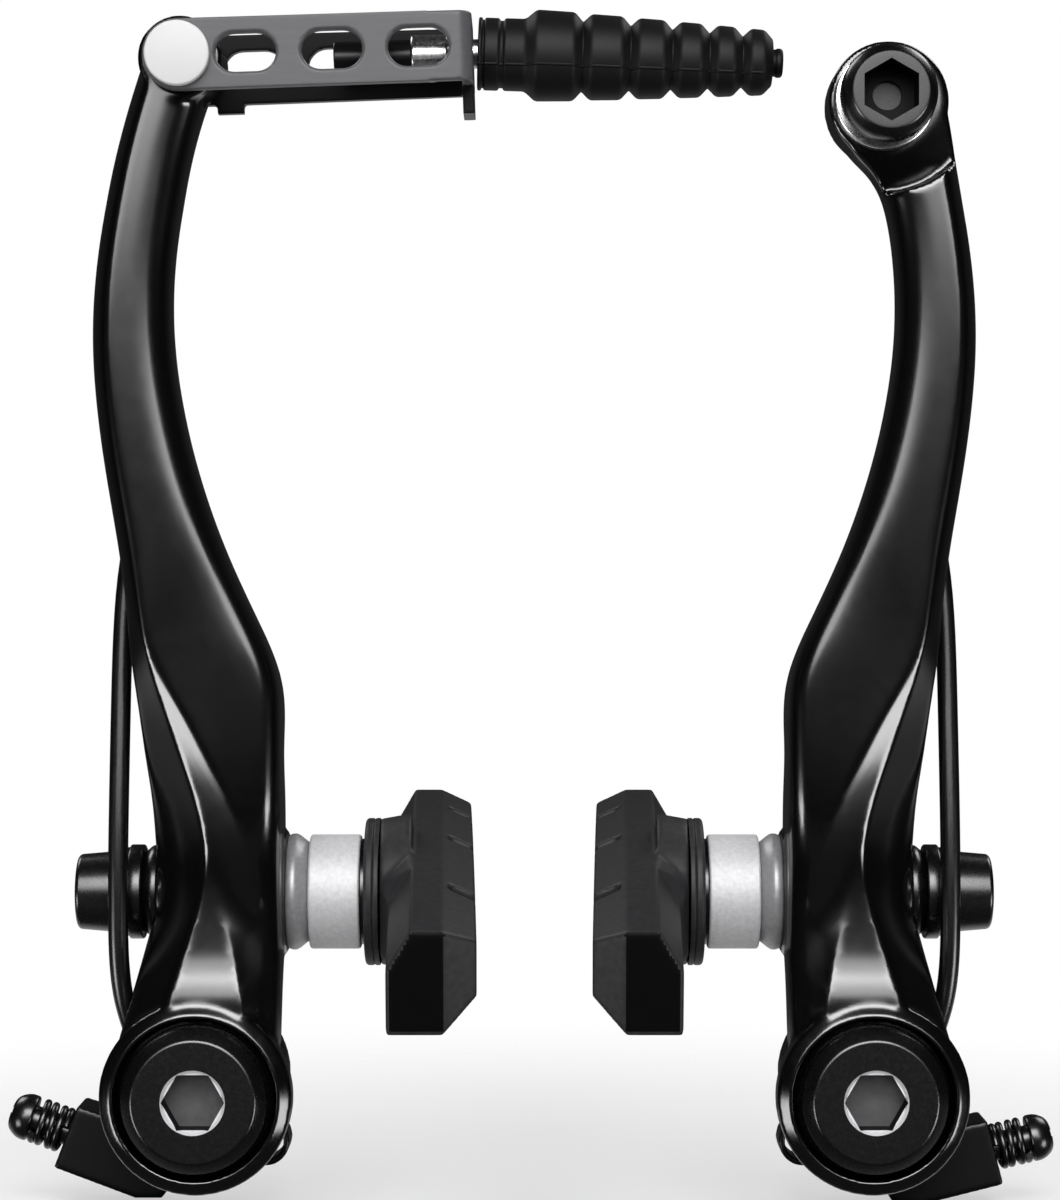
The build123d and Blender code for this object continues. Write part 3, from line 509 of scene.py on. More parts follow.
# black zinc plate on steel: near black, with a satin sheen that varies from place to place
black_zinc, tree = new_finish("black_zinc_plate")
spot = add_node(tree, "ShaderNodeTexCoord").outputs["Object"]
grain = add_node(tree, "ShaderNodeTexNoise", {"Vector": spot, "Scale": 1 / (0.5 * mm), "Detail": 4.0})
haze = add_node(tree, "ShaderNodeMapRange", {"Value": grain.outputs[0], "To Min": 0.22, "To Max": 0.32})
dent = add_node(tree, "ShaderNodeBump", {"Height": grain.outputs[0], "Strength": 0.05, "Distance": 0.02 * mm})
set_inputs(tree.nodes["Principled BSDF"], {
    "Base Color": linear("#060607"), "Roughness": haze.outputs["Result"], "Normal": dent.outputs["Normal"],
})

# bright steel: turned and nickel plated, with fine tool marks in its roughness
bright_steel, tree = new_finish("bright_plated_steel")
spot = add_node(tree, "ShaderNodeTexCoord").outputs["Object"]
marks = add_node(tree, "ShaderNodeTexNoise", {"Vector": spot, "Scale": 1 / (0.4 * mm), "Detail": 5.0})
haze = add_node(tree, "ShaderNodeMapRange", {"Value": marks.outputs[0], "To Min": 0.2, "To Max": 0.36})
set_inputs(tree.nodes["Principled BSDF"], {
    "Base Color": linear("#c9c9cb"), "Metallic": 1.0, "Roughness": haze.outputs["Result"],
})

# socket steel: black zinc plate rubbed thin and grey; inputs 6 and 7 of a Mix node are its two colours
socket_steel, tree = new_finish("worn_socket_steel")
spot = add_node(tree, "ShaderNodeTexCoord").outputs["Object"]
rubbed = add_node(tree, "ShaderNodeTexNoise", {"Vector": spot, "Scale": 1 / (0.9 * mm), "Detail": 4.0})
tone = add_node(
    tree, "ShaderNodeMix", {0: rubbed.outputs[0], 6: linear("#38383a"), 7: linear("#58585b")},
    data_type="RGBA",
)
set_inputs(tree.nodes["Principled BSDF"], {"Base Color": tone.outputs[2], "Metallic": 0.1, "Roughness": 0.5})

# painted highlight: a pale, matt, barely metallic grey-white on the chamfer round each socket, drawn as a
# bright ring
socket_rim_highlight, tree = new_finish("painted_socket_rim_highlight")
set_inputs(tree.nodes["Principled BSDF"], {
    "Base Color": linear("#dcdcde"), "Metallic": 0.1, "Roughness": 0.5,
})

# painted shade: a dull near-black with almost no gloss, on the walls inside the hex sockets and on the inner
# faces of the cable link, where shade falls
painted_shade_black, tree = new_finish("painted_shade_dull_black")
set_inputs(tree.nodes["Principled BSDF"], {
    "Base Color": linear("#050505"), "Specular IOR Level": 0.08, "Roughness": 0.6,
})

bolt = turned(
    ((8.0, 0, 0), (8.0, 3.0, 0.5), (20.5, 3.0, 0), (20.5, 7.5, 0.25), (22.9, 7.5, 0.2), (24.1, 6.3, 0.2),
     (24.1, 0, 0)),
    (0, 0, 0), forward_axis,
)
bolt_data = forged(
    bolt, [], [
        rod((0, 23.65, 0), (0, 24.5, 0), 3.0, 3.6),
        hex_key((0, 21.1, 0), (0, 24.6, 0), 5.6, turn=30.0),
        rod((0, 20.6, 0), (0, 21.15, 0), 0.6, 2.3),
    ],
)
socket_reach = 3.6 * mm
for piece in dress_pair("pivot_bolt", bolt_data, black_zinc, studs):
    for finish in (socket_rim_highlight, socket_steel, painted_shade_black):
        piece.data.materials.append(finish)
    # in each socket the chamfer takes the painted highlight, the floor the grey rubbed plate, and the walls
    # the painted shade
    for face in piece.data.polygons:
        reach = Vector((abs(face.center.x) - pivot_x, face.center.z)).length
        if reach < socket_reach and -24.05 * mm < face.center.y < -20.3 * mm:
            on_wall = face.normal.y > -0.3
            on_chamfer = face.center.y < -23.6 * mm
            face.material_index = 3 if on_wall else 1 if on_chamfer else 2

# Pivot bushes, stop pins and spring pegs: turned steel parts, pressed in or clamped by the bolts.
# Their solids are right as they are and take the bright plated finish.
for side in ("left", "right"):
    for node in ("pivot_bush", "stop_pin", "spring_peg"):
        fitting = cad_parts[f"{side}_{node}"]
        fitting.data.materials.clear()
        fitting.data.materials.append(bright_steel)

# Return springs: hard drawn music wire, blackened, wound round each bush with a long leg up the outer side
# of the arm. One smooth line is followed by a round wire, and the tail drops into the holder's slot.
leg_line = [
    (-5.3, 12.2, 66.0), (-6.9, 12.2, 60.0), (-8.4, 12.3, 54.0), (-8.6, 13.4, 40.0), (-8.7, 14.85, 26.0),
    (-8.7, 14.95, 20.1), (-8.7, 14.85, 14.0), (-8.3, 14.0, 9.0), (-7.0, 12.95, 5.0), (-6.45, 12.5, 2.5),
]
wound = 6.3 / ((4 + 2 * cos(radians(15))) / 6)
for step in range(54):
    turn = radians(15 * step)
    leg_line.append((-wound * cos(turn), 12.2 - 2.15 * step / 24, -wound * sin(turn)))
leg_line += [(-1.95, 6.6, -5.99), (-1.95, 4.5, -5.99), (-1.95, 2.0, -5.99)]


def drawn_wire(points, radius):
    # a round wire along points given as (u, forward, height)
    wire = bpy.data.curves.new("wire", "CURVE")
    wire.dimensions = "3D"
    wire.bevel_depth = radius * mm
    wire.bevel_resolution = 6
    wire.use_fill_caps = True
    wire.resolution_u = 6
    line = wire.splines.new("NURBS")
    line.points.add(len(points) - 1)
    for knot, point in zip(line.points, points):
        knot.co = (*on_arm(*point), 1.0)
    line.order_u = 4
    line.use_endpoint_u = True
    data = bpy.data.meshes.new_from_object(bpy.data.objects.new("wire", wire))
    bpy.data.curves.remove(wire)
    return data


spring_data = drawn_wire(leg_line, 1.05)

# blackened spring wire: smooth drawn steel under a thin black oxide, glossy along its length
black_wire, tree = new_finish("blackened_spring_wire")
spot = add_node(tree, "ShaderNodeTexCoord").outputs["Object"]
drawn = add_node(tree, "ShaderNodeMapping", {"Vector": spot, "Scale": (1.0, 1.0, 0.08)})
lines = add_node(
    tree, "ShaderNodeTexNoise", {"Vector": drawn.outputs[0], "Scale": 1 / (0.3 * mm), "Detail": 3.0},
)
haze = add_node(tree, "ShaderNodeMapRange", {"Value": lines.outputs[0], "To Min": 0.22, "To Max": 0.34})
set_inputs(tree.nodes["Principled BSDF"], {
    "Base Color": linear("#08080a"), "Roughness": haze.outputs["Result"],
})
for piece in dress_pair("spring", spring_data, black_wire, levers, machined=False):
    piece.data.set_sharp_from_angle(angle=radians(60))

# Brake shoe hardware: washers and a spacer turned about the shoe's post, so that the shoe can be tilted
# before its nut is done up. The dome washer is grey satin steel, the spacer bead-blasted aluminium.
post = (0, *shoe_hole)
wheelward = Vector((1, 0, 0))

# grey satin steel: phosphated and tumbled, darker in the pores
grey_steel, tree = new_finish("grey_phosphated_steel")
spot = add_node(tree, "ShaderNodeTexCoord").outputs["Object"]
pores = add_node(tree, "ShaderNodeTexNoise", {"Vector": spot, "Scale": 1 / (0.5 * mm), "Detail": 6.0})
tone = add_node(
    tree, "ShaderNodeMix", {0: pores.outputs[0], 6: linear("#88888a"), 7: linear("#b0b0b2")},
    data_type="RGBA",
)
set_inputs(tree.nodes["Principled BSDF"], {
    "Base Color": tone.outputs[2], "Metallic": 0.2, "Roughness": 0.42,
})

# bead-blasted aluminium: pale and matt, with fine pits that are drawn 0.45 mm wide so that they show
blasted, tree = new_finish("bead_blasted_aluminium")
spot = add_node(tree, "ShaderNodeTexCoord").outputs["Object"]
pits = add_node(tree, "ShaderNodeTexNoise", {"Vector": spot, "Scale": 1 / (0.45 * mm), "Detail": 5.0})
tone = add_node(
    tree, "ShaderNodeMix", {0: pits.outputs[0], 6: linear("#bcbcbe"), 7: linear("#e6e6e8")},
    data_type="RGBA",
)
dent = add_node(tree, "ShaderNodeBump", {"Height": pits.outputs[0], "Strength": 0.5, "Distance": 0.06 * mm})
set_inputs(tree.nodes["Principled BSDF"], {
    "Base Color": tone.outputs[2], "Metallic": 0.1, "Roughness": 0.6, "Normal": dent.outputs["Normal"],
})

dome = turned(
    ((inner_seat, shoe_bore, 0), (inner_seat, 5.95, 0.2), (9.2, 6.2, 0.3), (9.75, 6.1, 0.4),
     (10.95, 5.15, 0.1), (11.9, shoe_bore, 0)),
    post, wheelward, closed=True,
)
dress_pair("dome_washer", mesh_of(dome), grey_steel, levers)
spacer = turned(
    ((12.0, shoe_bore, 0), (11.0, 5.2, 0.05), (11.0, 6.05, 0.3), (16.4, 6.05, 0.3), (16.4, shoe_bore, 0)),
    post, wheelward, closed=True,
)
dress_pair("cup_spacer", mesh_of(spacer), blasted, levers)
outer_dome = turned(
    ((outer_seat, shoe_bore, 0), (outer_seat, 4.95, 0.15), (-5.7, 4.95, 0.3), (-6.55, 4.2, 0.1),
     (-7.0, shoe_bore, 0)),
    post, wheelward, closed=True,
)
dress_pair("outer_dome_washer", mesh_of(outer_dome), black_zinc, levers)
outer_cup = turned(
    ((-7.05, shoe_bore, 0), (-6.6, 4.25, 0), (-6.6, 5.0, 0.2), (-8.13, 5.0, 0.2), (-8.13, shoe_bore, 0)),
    post, wheelward, closed=True,
)
dress_pair("outer_cup_washer", mesh_of(outer_cup), black_zinc, levers)
flat = turned(
    ((-8.17, shoe_bore, 0), (-8.17, 4.7, 0.15), (-8.93, 4.7, 0.15), (-8.93, shoe_bore, 0)),
    post, wheelward, closed=True,
)
dress_pair("flat_washer", mesh_of(flat), black_zinc, levers)
nut = turned(
    ((-8.97, 0, 0), (-8.97, 4.35, 0.2), (-13.65, 3.95, 0.45), (-13.65, 0, 0)), post, wheelward,
)
nut_data = forged(
    nut, [], [
        rod((-13.0, *shoe_hole), (-13.9, *shoe_hole), 2.7, 3.6),
        hex_key((-10.65, *shoe_hole), (-14.0, *shoe_hole), 5.0),
        rod((-14.0, *shoe_hole), (-8.0, *shoe_hole), 2.45),
    ],
)
dress_pair("shoe_nut", nut_data, black_zinc, levers)

# Shoe posts: blackened steel studs with a thin collar and a grooved base plate, which the pad is moulded on.
# Each goes through the spacer, the arm and the outer washers into its nut.
stud = turned(
    ((-10.25, 0, 0), (-10.25, 2.95, 0.3), (16.4, 2.95, 0), (16.4, 5.6, 0.12), (16.9, 5.6, 0),
     (16.9, 7.8, 0.4), (17.75, 7.8, 0.1), (17.85, 7.65, 0), (17.95, 7.8, 0.1), (18.45, 7.8, 0.1),
     (18.45, 0, 0)),
    post, wheelward,
)
stud_pieces = dress_pair("shoe_post", mesh_of(stud), black_zinc, levers)


# Shoe pads: charcoal rubber blocks, moulded in one with a foot round the post's plate. A straight block is
# cut by three wear grooves, rounded, then bent to the rim's curve, pitched up to the rear and toed in.
def lofted(outlines):
    # a closed shell through outlines with equally many points (u, forward, height)
    shape = bmesh.new()
    rings = [[shape.verts.new(on_arm(*point)) for point in outline] for outline in outlines]
    for low, high in zip(rings, rings[1:]):
        for corners in zip(low, low[1:] + low[:1], high[1:] + high[:1], high):
            shape.faces.new(corners)
    shape.faces.new(rings[0])
    shape.faces.new(rings[-1])
    bmesh.ops.recalc_face_normals(shape, faces=shape.faces)
    return shape


# cuts through the pad as (depth behind the braking face, height), and where each stands along it;
# the foot rises over the round of the post's plate
plain_cut = ((0, -2.0), (0, 3.8), (3.4, 5.4), (6.5, 5.4), (8.9, 1.3), (8.9, -5.4), (3.4, -5.4))


def foot_cut(top):
    return (0, -2.0), (0, 3.8), (3.4, 5.4), (6.7, 5.6), (9.9, top), (9.9, -5.2), (3.4, -5.4)


foot_tops = ((-7.4, 2.6), (-4.5, 5.4), (0, 6.9), (4.5, 5.4), (7.4, 2.6))
pad_cuts = [(-31.0, plain_cut), (-10.5, plain_cut)]
pad_cuts += [(along, foot_cut(top)) for along, top in foot_tops]
pad_cuts += [(12.5, plain_cut), (36.0, plain_cut)]
grooves = (-16.0, 4.0, 22.0)
half_groove = 1.05
pad_data = forged(
    lofted([[(depth, -along, height) for depth, height in cut] for along, cut in pad_cuts]),
    [rod((9.9, 0, 0), (6.5, 0, 0), 7.7, 8.3)],
    [block((-1.0, -along - half_groove, -8.0), (2.7, -along + half_groove, 8.0)) for along in grooves]
    + [lofted([[(3.4, 31.1, h), (-1.0, 28.6, h), (-1.0, 33.0, h), (3.4, 33.0, h)] for h in (-8.0, 8.0)])],
    grain=0.28, passes=5,
)
rim = 305.0 * mm
pitch = radians(8.75)
toe_in = radians(1.5)
braking_face = -6.4 * mm
for vert in pad_data.vertices:
    turn = vert.co.y / rim
    run = (rim + vert.co.z) * sin(turn)
    rise = (rim + vert.co.z) * cos(turn) - rim
    vert.co = (
        braking_face - run * tan(toe_in) - (vert.co.x + pivot_x),
        -shoe_hole[0] * mm + run * cos(pitch) - rise * sin(pitch),
        shoe_hole[1] * mm + run * sin(pitch) + rise * cos(pitch),
    )
pad_data.flip_normals()

# moulded pad rubber: charcoal, with a dry bloom that is paler where it collects
pad_rubber, tree = new_finish("charcoal_pad_rubber")
spot = add_node(tree, "ShaderNodeTexCoord").outputs["Object"]
bloom = add_node(tree, "ShaderNodeTexNoise", {"Vector": spot, "Scale": 1 / (0.7 * mm), "Detail": 6.0})
tone = add_node(
    tree, "ShaderNodeMix", {0: bloom.outputs[0], 6: linear("#1d1d1f"), 7: linear("#39393b")},
    data_type="RGBA",
)
dent = add_node(tree, "ShaderNodeBump", {"Height": bloom.outputs[0], "Strength": 0.15, "Distance": 0.04 * mm})
set_inputs(tree.nodes["Principled BSDF"], {
    "Base Color": tone.outputs[2], "Specular IOR Level": 0.15, "Roughness": 0.5,
    "Normal": dent.outputs["Normal"],
})

# painted shade: the end face at the front of each pad, drawn near black with almost no gloss, darker than the
# grained sides
pad_end_shade, tree = new_finish("painted_shade_pad_end")
set_inputs(tree.nodes["Principled BSDF"], {
    "Base Color": linear("#0a0a0a"), "Specular IOR Level": 0.04, "Roughness": 0.5,
})
for piece in dress_pair("shoe_pad", pad_data, pad_rubber, levers, machined=False):
    piece.data.materials.append(pad_end_shade)
    # the front end face takes the painted shade
    for face in piece.data.polygons:
        if face.normal.y < -0.93 and face.center.y < -36.0 * mm:
            face.material_index = 1

# the rubber is moulded over the rim of the post's plate too
post_axis = Vector((-shoe_hole[0] * mm, shoe_hole[1] * mm))
for piece in stud_pieces:
    piece.data.materials.append(pad_rubber)
    for face in piece.data.polygons:
        if (face.center.yz - post_axis).length > 5.7 * mm:
            face.material_index = 1

# Spring holders: black plastic rings moulded round the bushes behind the arms, each with a block for its
# tension screw, an eyelet and a slot for the spring's tail. The right block sits further round its ring.
block_turns = (0.0, 6.5)
block_cut = ((-14.05, -2.97), (-16.55, -9.5), (-7.9, -12.75), (-5.0, -12.75), (0, -6.3), (-6.3, -5.5))


def about_pivot(u, height, turn):
    # a point turned about the pivot by so many degrees
    turn = radians(turn)
    return u * cos(turn) - height * sin(turn), u * sin(turn) + height * cos(turn)


def screw_point(turn, out):
    # a point on the screw's axis, so far out from the block's face
    slope = radians(20.0)
    u, height = about_pivot(-15.3 - out * cos(slope), -6.26 + out * sin(slope), turn)
    return u, 3.9, height


def holder(turn):
    # a ring with its eyelet, the stop pin's lug and the block, bored and slotted
    cut = [about_pivot(u, height, turn) for u, height in block_cut]
    tail = [about_pivot(6.3, 0, angle) for angle in range(246, 289, 6)]
    return forged(
        rod((0, 1.0, 0), (0, 5.9, 0), 8.3), [
            rod((5.9, 1.0, -7.0), (5.9, 5.9, -7.0), 2.6),
            rod((-7.7, 1.0, 0), (-7.7, 5.9, 0), 2.0),
            lofted([[(u, forward, height) for u, height in cut] for forward in (0.4, 7.4)]),
        ], [
            rod((0, 5.9, 0), (0, 9.0, 0), 10.2),
            rod((0, -0.5, 0), (0, 1.0, 0), 6.45),
            rod((0, -0.5, 0), (0, 7.0, 0), 5.05),
            rod((5.9, 0, -7.0), (5.9, 7.0, -7.0), 1.95),
            rod((-7.7, 0, 0), (-7.7, 7.0, 0), 1.1),
            rod(screw_point(turn, 1.0), screw_point(turn, -11.5), 1.55),
            rod(screw_point(turn, 0.1), screw_point(turn, -0.7), 2.3, 1.5),
            *[rod((u, 1.7, height), (u, 7.0, height), 1.35) for u, height in tail],
        ],
        grain=0.26, passes=3,
    )


# moulded black plastic: satin, with the fine grain of a sparked mould
plastic, tree = new_finish("moulded_black_plastic")
spot = add_node(tree, "ShaderNodeTexCoord").outputs["Object"]
sparks = add_node(tree, "ShaderNodeTexNoise", {"Vector": spot, "Scale": 1 / (0.25 * mm), "Detail": 3.0})
dent = add_node(tree, "ShaderNodeBump", {"Height": sparks.outputs[0], "Strength": 0.2, "Distance": 0.03 * mm})
set_inputs(tree.nodes["Principled BSDF"], {
    "Base Color": linear("#080809"), "Specular IOR Level": 0.25, "Roughness": 0.35,
    "Normal": dent.outputs["Normal"],
})
left_holder, right_holder = [holder(turn) for turn in block_turns]
dress_pair("spring_holder", left_holder, plastic, studs, machined=False, other=right_holder)


# Tension screws and their lock springs: black steel screws with a round cross-slotted head, each held from
# turning by a short coil between its head and the holder's block. Both are made on the pivot's axis, then
# set on the block.
def set_on_block(data, turn):
    # moves a mesh from the pivot's axis to the screw's
    foot = on_arm(*screw_point(turn, 0.0))
    outwards = on_arm(*screw_point(turn, 1.0)) - foot
    swing = forward_axis.rotation_difference(outwards).to_matrix().to_4x4()
    data.transform(Matrix.Translation(foot) @ swing @ Matrix.Translation((pivot_x, 0, 0)))
    return data


def tension_screw(turn):
    # a shank under a domed head, with a cross of two slots
    screw = turned(
        ((-8.6, 0, 0), (-8.6, 1.5, 0.4), (4.15, 1.5, 0), (4.15, 2.5, 0.3), (5.3, 2.5, 0.5), (6.55, 1.7, 0.6),
         (6.7, 0, 0)),
        (0, 0, 0), forward_axis, steps=64,
    )
    slots = [block((-1.5, 5.55, -0.35), (1.5, 7.0, 0.35)), block((-0.35, 5.55, -1.5), (0.35, 7.0, 1.5))]
    return set_on_block(forged(screw, [], slots), turn)


def lock_coil(turn):
    # just under four turns that touch at both ends and gape once, past the middle
    radius = 2.15
    lead = 0.76
    coil = []
    for step in range(93):
        turns = step / 24
        angle = 2 * pi * turns
        gape = min(max((turns - 1.9) / 0.5, 0.0), 1.0)
        coil.append((radius * cos(angle), 0.42 + lead * turns + 0.38 * gape, radius * sin(angle)))
    return set_on_block(drawn_wire(coil, 0.4), turn)


adjusters = ("left_adjuster", "right_adjuster")
left_screw, right_screw = [tension_screw(turn) for turn in block_turns]
dress_pair("adjusting_screw", left_screw, black_wire, adjusters, other=right_screw)
left_coil, right_coil = [lock_coil(turn) for turn in block_turns]
dress_pair("lock_spring", left_coil, black_wire, studs, machined=False, other=right_coil)

# Cable link: steel sheet folded into a channel, pierced with three oblong windows in each side, satin plated
# outside, with painted shade in near-black on its inner faces. It swings on a pin through the arm's ear, and
# its end wall holds the cable's guide. It is made level with its pin on the pivot's axis, then set on the
# ear.
link_tilt = radians(1.9)
link_rear = 11.8
link_front = 23.8
link_length = 30.0
sheet = 1.2
fold = 1.6
link_cut = [(3.65 * cos(radians(a)), 3.68 * sin(radians(a))) for a in range(90, 271, 10)]
link_cut += [(link_length, -3.55), (link_length, 3.55)]


def window(middle, grown, forward):
    # one end of a window's cutter: an oblong outline, larger all round by so much
    radius = 1.95 + grown
    outline = []
    for centre, start in ((middle + 1.15, -90), (middle - 1.15, 90)):
        for angle in range(start, start + 181, 15):
            outline.append((centre + radius * cos(radians(angle)), forward, radius * sin(radians(angle))))
    return outline


def bend(forward, side):
    # what is taken off outside a fold of the sheet, on the front (1) or rear (-1) side
    start = link_length - fold
    past = link_length + 1.0
    outline = [(past, forward + side), (start, forward + side)]
    for angle in range(90, -1, -10):
        a = radians(angle)
        outline.append((start + fold * cos(a), forward - side * fold * (1 - sin(a))))
    outline.append((past, forward - side * fold))
    return lofted([[(u, f, height) for u, f in outline] for height in (-8.0, 8.0)])


windows = []
for along in (6.9, 15.7, 24.5):
    windows.append(lofted([window(along, 0, 11.0), window(along, 0, 25.0)]))
    windows.append(lofted([window(along, 0.02, link_front - 0.25), window(along, 0.3, link_front + 0.1)]))
inside_rear = link_rear + sheet
inside_front = link_front - sheet
inside_end = link_length - sheet
link_data = forged(
    lofted([[(u, forward, height) for u, height in link_cut] for forward in (link_rear, link_front)]), [
        block((2.9, link_rear, -4.6), (5.7, inside_rear, -3.0)),
        block((inside_end, 15.3, -6.5), (link_length, 20.3, -3.0)),
    ], [
        block((-6.0, inside_rear, -7.0), (inside_end, inside_front, 6.0)),
        bend(link_front, 1),
        bend(link_rear, -1),
        *windows,
        rod((0, 10.0, 0), (0, 25.0, 0), 2.05),
        rod((27.0, link_pin[1], 0), (31.0, link_pin[1], 0), 1.55),
    ],
    grain=0.17, passes=2,
)
swing = Matrix.Rotation(-link_tilt, 4, "Y")
ear = Matrix.Translation(on_arm(link_u, 0, link_height))
link_data.transform(ear @ swing @ Matrix.Translation((pivot_x, 0, 0)))

# satin grey plate: a dull nickel on rolled sheet, with a faint lengthwise grain
satin_plate, tree = new_finish("satin_grey_plate")
spot = add_node(tree, "ShaderNodeTexCoord").outputs["Object"]
rolled = add_node(tree, "ShaderNodeMapping", {"Vector": spot, "Scale": (0.1, 1.0, 1.0)})
lay = add_node(
    tree, "ShaderNodeTexNoise", {"Vector": rolled.outputs[0], "Scale": 1 / (0.5 * mm), "Detail": 4.0},
)
tone = add_node(
    tree, "ShaderNodeMix", {0: lay.outputs[0], 6: linear("#58585b"), 7: linear("#646467")},
    data_type="RGBA",
)
set_inputs(tree.nodes["Principled BSDF"], {
    "Base Color": tone.outputs[2], "Specular IOR Level": 0.15, "Roughness": 0.36,
})
link_piece = dress("cable_link_piece", link_data, satin_plate, "link", "cable_link")
link_piece.data.materials.append(painted_shade_black)
# the inner faces of the channel take the painted shade, near black
for face in link_piece.data.polygons:
    if -22.8 * mm < face.center.y < -12.8 * mm and abs(face.normal.y) > 0.5:
        face.material_index = 1

# Link pin: a turned steel rivet through the ear and both sides of the link, headed at the rear, with a flat
# polished cap in front. The link swings with it in the ear.
rivet = turned(
    ((10.8, 0, 0), (10.8, 2.9, 0.3), (link_rear, 2.9, 0), (link_rear, 2.0, 0), (link_front, 2.0, 0),
     (link_front, 3.3, 0.1), (24.8, 3.3, 0.2), (24.8, 0, 0)),
    (link_u, 0, link_height), forward_axis,
)

# polished rivet steel: it mirrors the white studio, which is drawn as an even pale grey with little gloss
polished, tree = new_finish("polished_rivet_cap")
set_inputs(tree.nodes["Principled BSDF"], {
    "Base Color": linear("#e6e6e6"), "Specular IOR Level": 0.2, "Roughness": 0.4,
})
crisp(dress("link_pin_piece", mesh_of(rivet), polished, "link", "link_pin"))

# Cable guide: a bright turned end with a narrow neck, seated in the link's end wall, and the black liner
# that is butted on its inner end
link_line = Vector((cos(link_tilt), 0, sin(link_tilt)))
cable_bore = 0.9
guide = turned(
    ((23.6, cable_bore, 0.1), (23.6, 2.1, 0.25), (27.4, 2.1, 0.25), (27.4, 1.5, 0), (39.0, 1.5, 0.15),
     (39.0, cable_bore, 0)),
    link_pin, link_line, steps=64, closed=True,
)
crisp(dress("guide_tube_piece", mesh_of(guide), bright_steel, "link", "guide_tube"))
liner = turned(
    ((15.6, cable_bore, 0), (15.6, 1.7, 0.15), (23.6, 1.7, 0.1), (23.6, cable_bore, 0)),
    link_pin, link_line, steps=64, closed=True,
)
crisp(dress("guide_liner_piece", mesh_of(liner), plastic, "link", "guide_liner"))

# Cable boot: soft black rubber bellows, moulded hollow in two halves, so a fine seam runs along each side.
# Its ribbed collar sits over the guide's outer end, and six folds taper to a nipple round the cable.
boot_droop = radians(1.8)
boot_line = Vector((cos(boot_droop), 0, -sin(boot_droop)))
boot_start = Vector(link_pin) + 30.5 * link_line
boot_profile = [
    (0, 2.1, 0), (0, 3.75, 0.15), (0.35, 3.75, 0.12), (0.45, 3.5, 0), (0.6, 3.5, 0), (0.7, 3.72, 0.12),
    (2.1, 3.72, 0.15), (2.25, 3.45, 0), (2.6, 3.45, 0), (2.75, 3.72, 0.15), (4.85, 3.72, 0.3),
]
# each fold is slimmer and shorter than the one before, with a valley between them
place = 6.0
half_valley = 0.88
slimmer = 0.94
shorter = 0.81
for fold_count in range(6):
    radius = 4.7 * slimmer**fold_count
    length = 3.9 * shorter**fold_count
    boot_profile += [(place, radius, 0.3), (place + length, radius * 0.97, 0.3)]
    boot_profile.append((place + length + half_valley, radius * slimmer - 0.85, 0.12))
    place += length + 2 * half_valley
nipple = place - half_valley
boot_profile += [
    (nipple, 1.4, 0.1), (nipple + 0.35, 1.4, 0), (nipple + 0.45, 1.5, 0.1), (nipple + 1.1, 1.5, 0.35),
    (nipple + 1.1, cable_bore, 0), (nipple - 0.8, cable_bore, 0), (nipple - 0.8, 2.1, 0),
]
boot = turned(boot_profile, boot_start, boot_line, closed=True)

# boot rubber: matt black with a faint grey bloom and a raised seam low on each side
boot_rubber, tree = new_finish("matt_boot_rubber")
spot = add_node(tree, "ShaderNodeTexCoord").outputs["Object"]
dust = add_node(tree, "ShaderNodeTexNoise", {"Vector": spot, "Scale": 1 / (0.4 * mm), "Detail": 5.0})
tone = add_node(
    tree, "ShaderNodeMix", {0: dust.outputs[0], 6: linear("#060607"), 7: linear("#0d0d0e")},
    data_type="RGBA",
)
axes = add_node(tree, "ShaderNodeSeparateXYZ", {"Vector": spot})
fall = add_node(
    tree, "ShaderNodeMath", {0: axes.outputs["X"], 1: tan(boot_droop), 2: axes.outputs["Z"]},
    operation="MULTIPLY_ADD",
)
seam_height = (boot_start.z - 1.55) * mm + tan(boot_droop) * (boot_start.x * mm - pivot_x)
away = add_node(tree, "ShaderNodeMath", {0: fall.outputs[0], 1: seam_height}, operation="SUBTRACT")
apart = add_node(tree, "ShaderNodeMath", {0: away.outputs[0]}, operation="ABSOLUTE")
seam = add_node(
    tree, "ShaderNodeMapRange",
    {"Value": apart.outputs[0], "From Min": 0.04 * mm, "From Max": 0.14 * mm, "To Min": 1.0, "To Max": 0.0},
    interpolation_type="SMOOTHSTEP",
)
dent = add_node(
    tree, "ShaderNodeBump", {"Height": seam.outputs["Result"], "Strength": 0.8, "Distance": 0.1 * mm},
)
set_inputs(tree.nodes["Principled BSDF"], {
    "Base Color": tone.outputs[2], "Specular IOR Level": 0.13, "Roughness": 0.55,
    "Normal": dent.outputs["Normal"],
})
dress("cable_boot_piece", mesh_of(boot), boot_rubber, "link", "cable_boot")

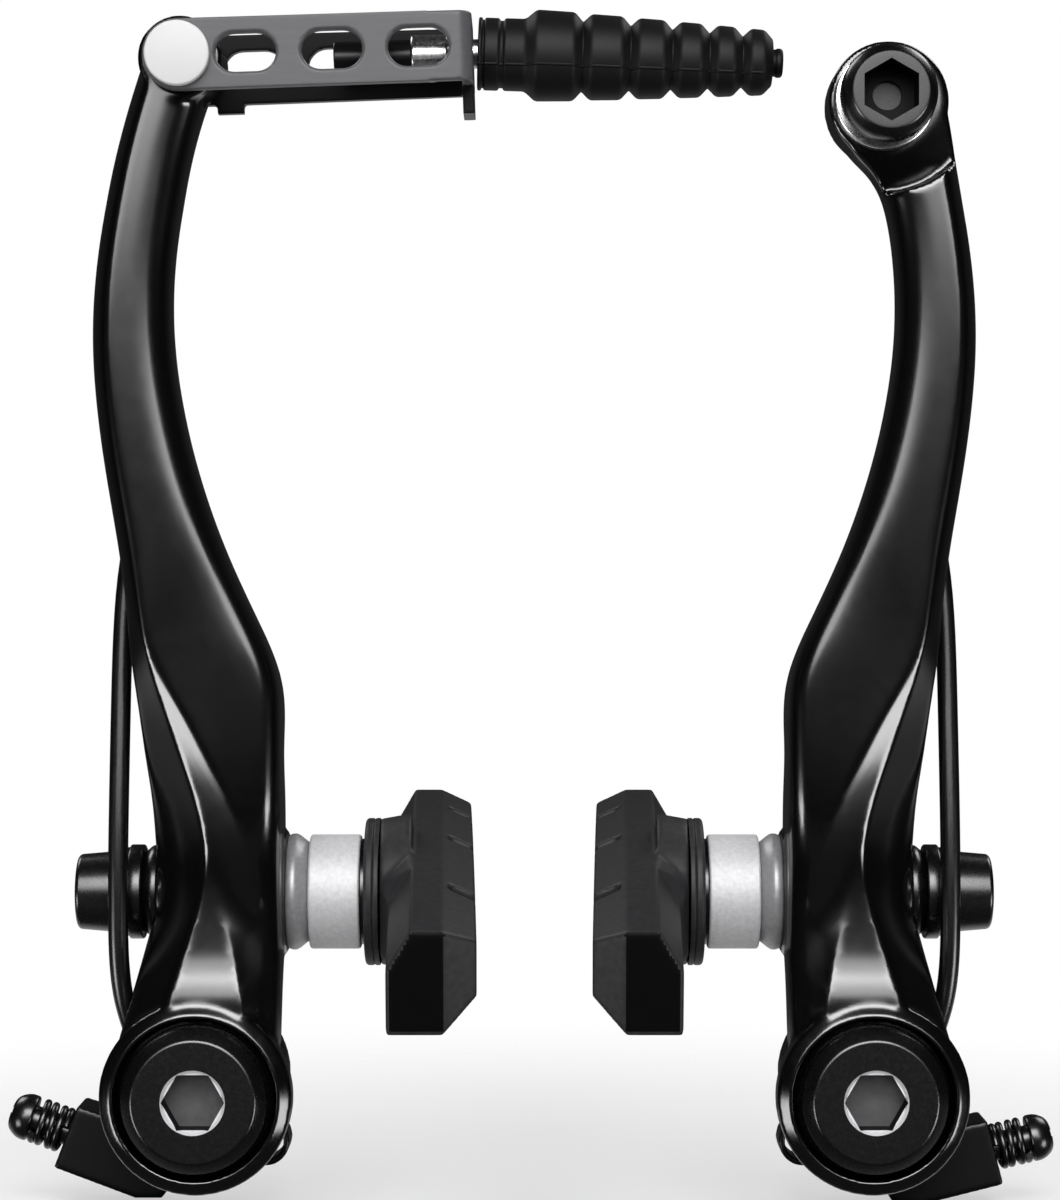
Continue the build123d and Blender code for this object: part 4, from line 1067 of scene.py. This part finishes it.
# Cable clamp: a tall round bolt head over a bright washer, on the right arm's eye. The washer has a groove
# behind it for the cable. The head is blackened, and its front is ground grey round a hex socket.
washer_front = 21.2
head_front = 27.0
clamp_washer = turned(
    ((clamp_seat, 3.2, 0), (clamp_seat, 5.2, 0.2), (washer_front, 5.2, 0.3), (washer_front, 3.2, 0)),
    clamp, forward_axis, closed=True,
)
groove = rod((-8.0, clamp_seat, 106.4), (6.0, clamp_seat, 106.4), 0.9, segments=32)
washer_data = forged(clamp_washer, [], [groove])
crisp(dress(
    "cable_clamp_washer_piece", mirrored(washer_data), bright_steel, "right_lever", "cable_clamp_washer",
))
clamp_bolt = turned(
    ((13.6, 0, 0), (13.6, 3.0, 0.4), (washer_front, 3.0, 0), (washer_front, 4.2, 0.2), (23.2, 4.9, 0.6),
     (25.9, 4.9, 0.6), (head_front, 3.9, 0.2), (head_front, 0, 0)),
    clamp, forward_axis,
)
clamp_data = forged(
    clamp_bolt, [], [
        hex_key((clamp_u, 23.0, clamp_height), (clamp_u, 27.4, clamp_height), 5.5),
        rod((clamp_u, 22.2, clamp_height), (clamp_u, 23.1, clamp_height), 1.5),
    ],
)

# ground steel: the plate is worn off to a grey, speckled face
ground_steel, tree = new_finish("ground_grey_steel")
spot = add_node(tree, "ShaderNodeTexCoord").outputs["Object"]
specks = add_node(tree, "ShaderNodeTexNoise", {"Vector": spot, "Scale": 1 / (0.2 * mm), "Detail": 4.0})
tone = add_node(
    tree, "ShaderNodeMix", {0: specks.outputs[0], 6: linear("#1e1e20"), 7: linear("#464649")},
    data_type="RGBA",
)
set_inputs(tree.nodes["Principled BSDF"], {
    "Base Color": tone.outputs[2], "Specular IOR Level": 0.3, "Roughness": 0.5,
})
clamp_piece = dress(
    "cable_clamp_bolt_piece", mirrored(clamp_data), black_zinc, "right_lever", "cable_clamp_bolt",
)
crisp(clamp_piece)
clamp_piece.data.materials.append(ground_steel)
clamp_piece.data.materials.append(painted_shade_black)
# the head's front and the socket's floor are ground grey, and the socket's walls take the painted shade
for face in clamp_piece.data.polygons:
    reach = Vector((face.center.x - pivot_x + clamp_u * mm, face.center.z - clamp_height * mm)).length
    faces_front = face.normal.y < -0.9
    on_head = face.center.y < -26.9 * mm
    on_socket_floor = -22.3 * mm < face.center.y < -22.1 * mm
    if faces_front and (on_head or on_socket_floor):
        face.material_index = 1
    elif reach < 3.3 * mm and face.center.y < -22.1 * mm:
        face.material_index = 2
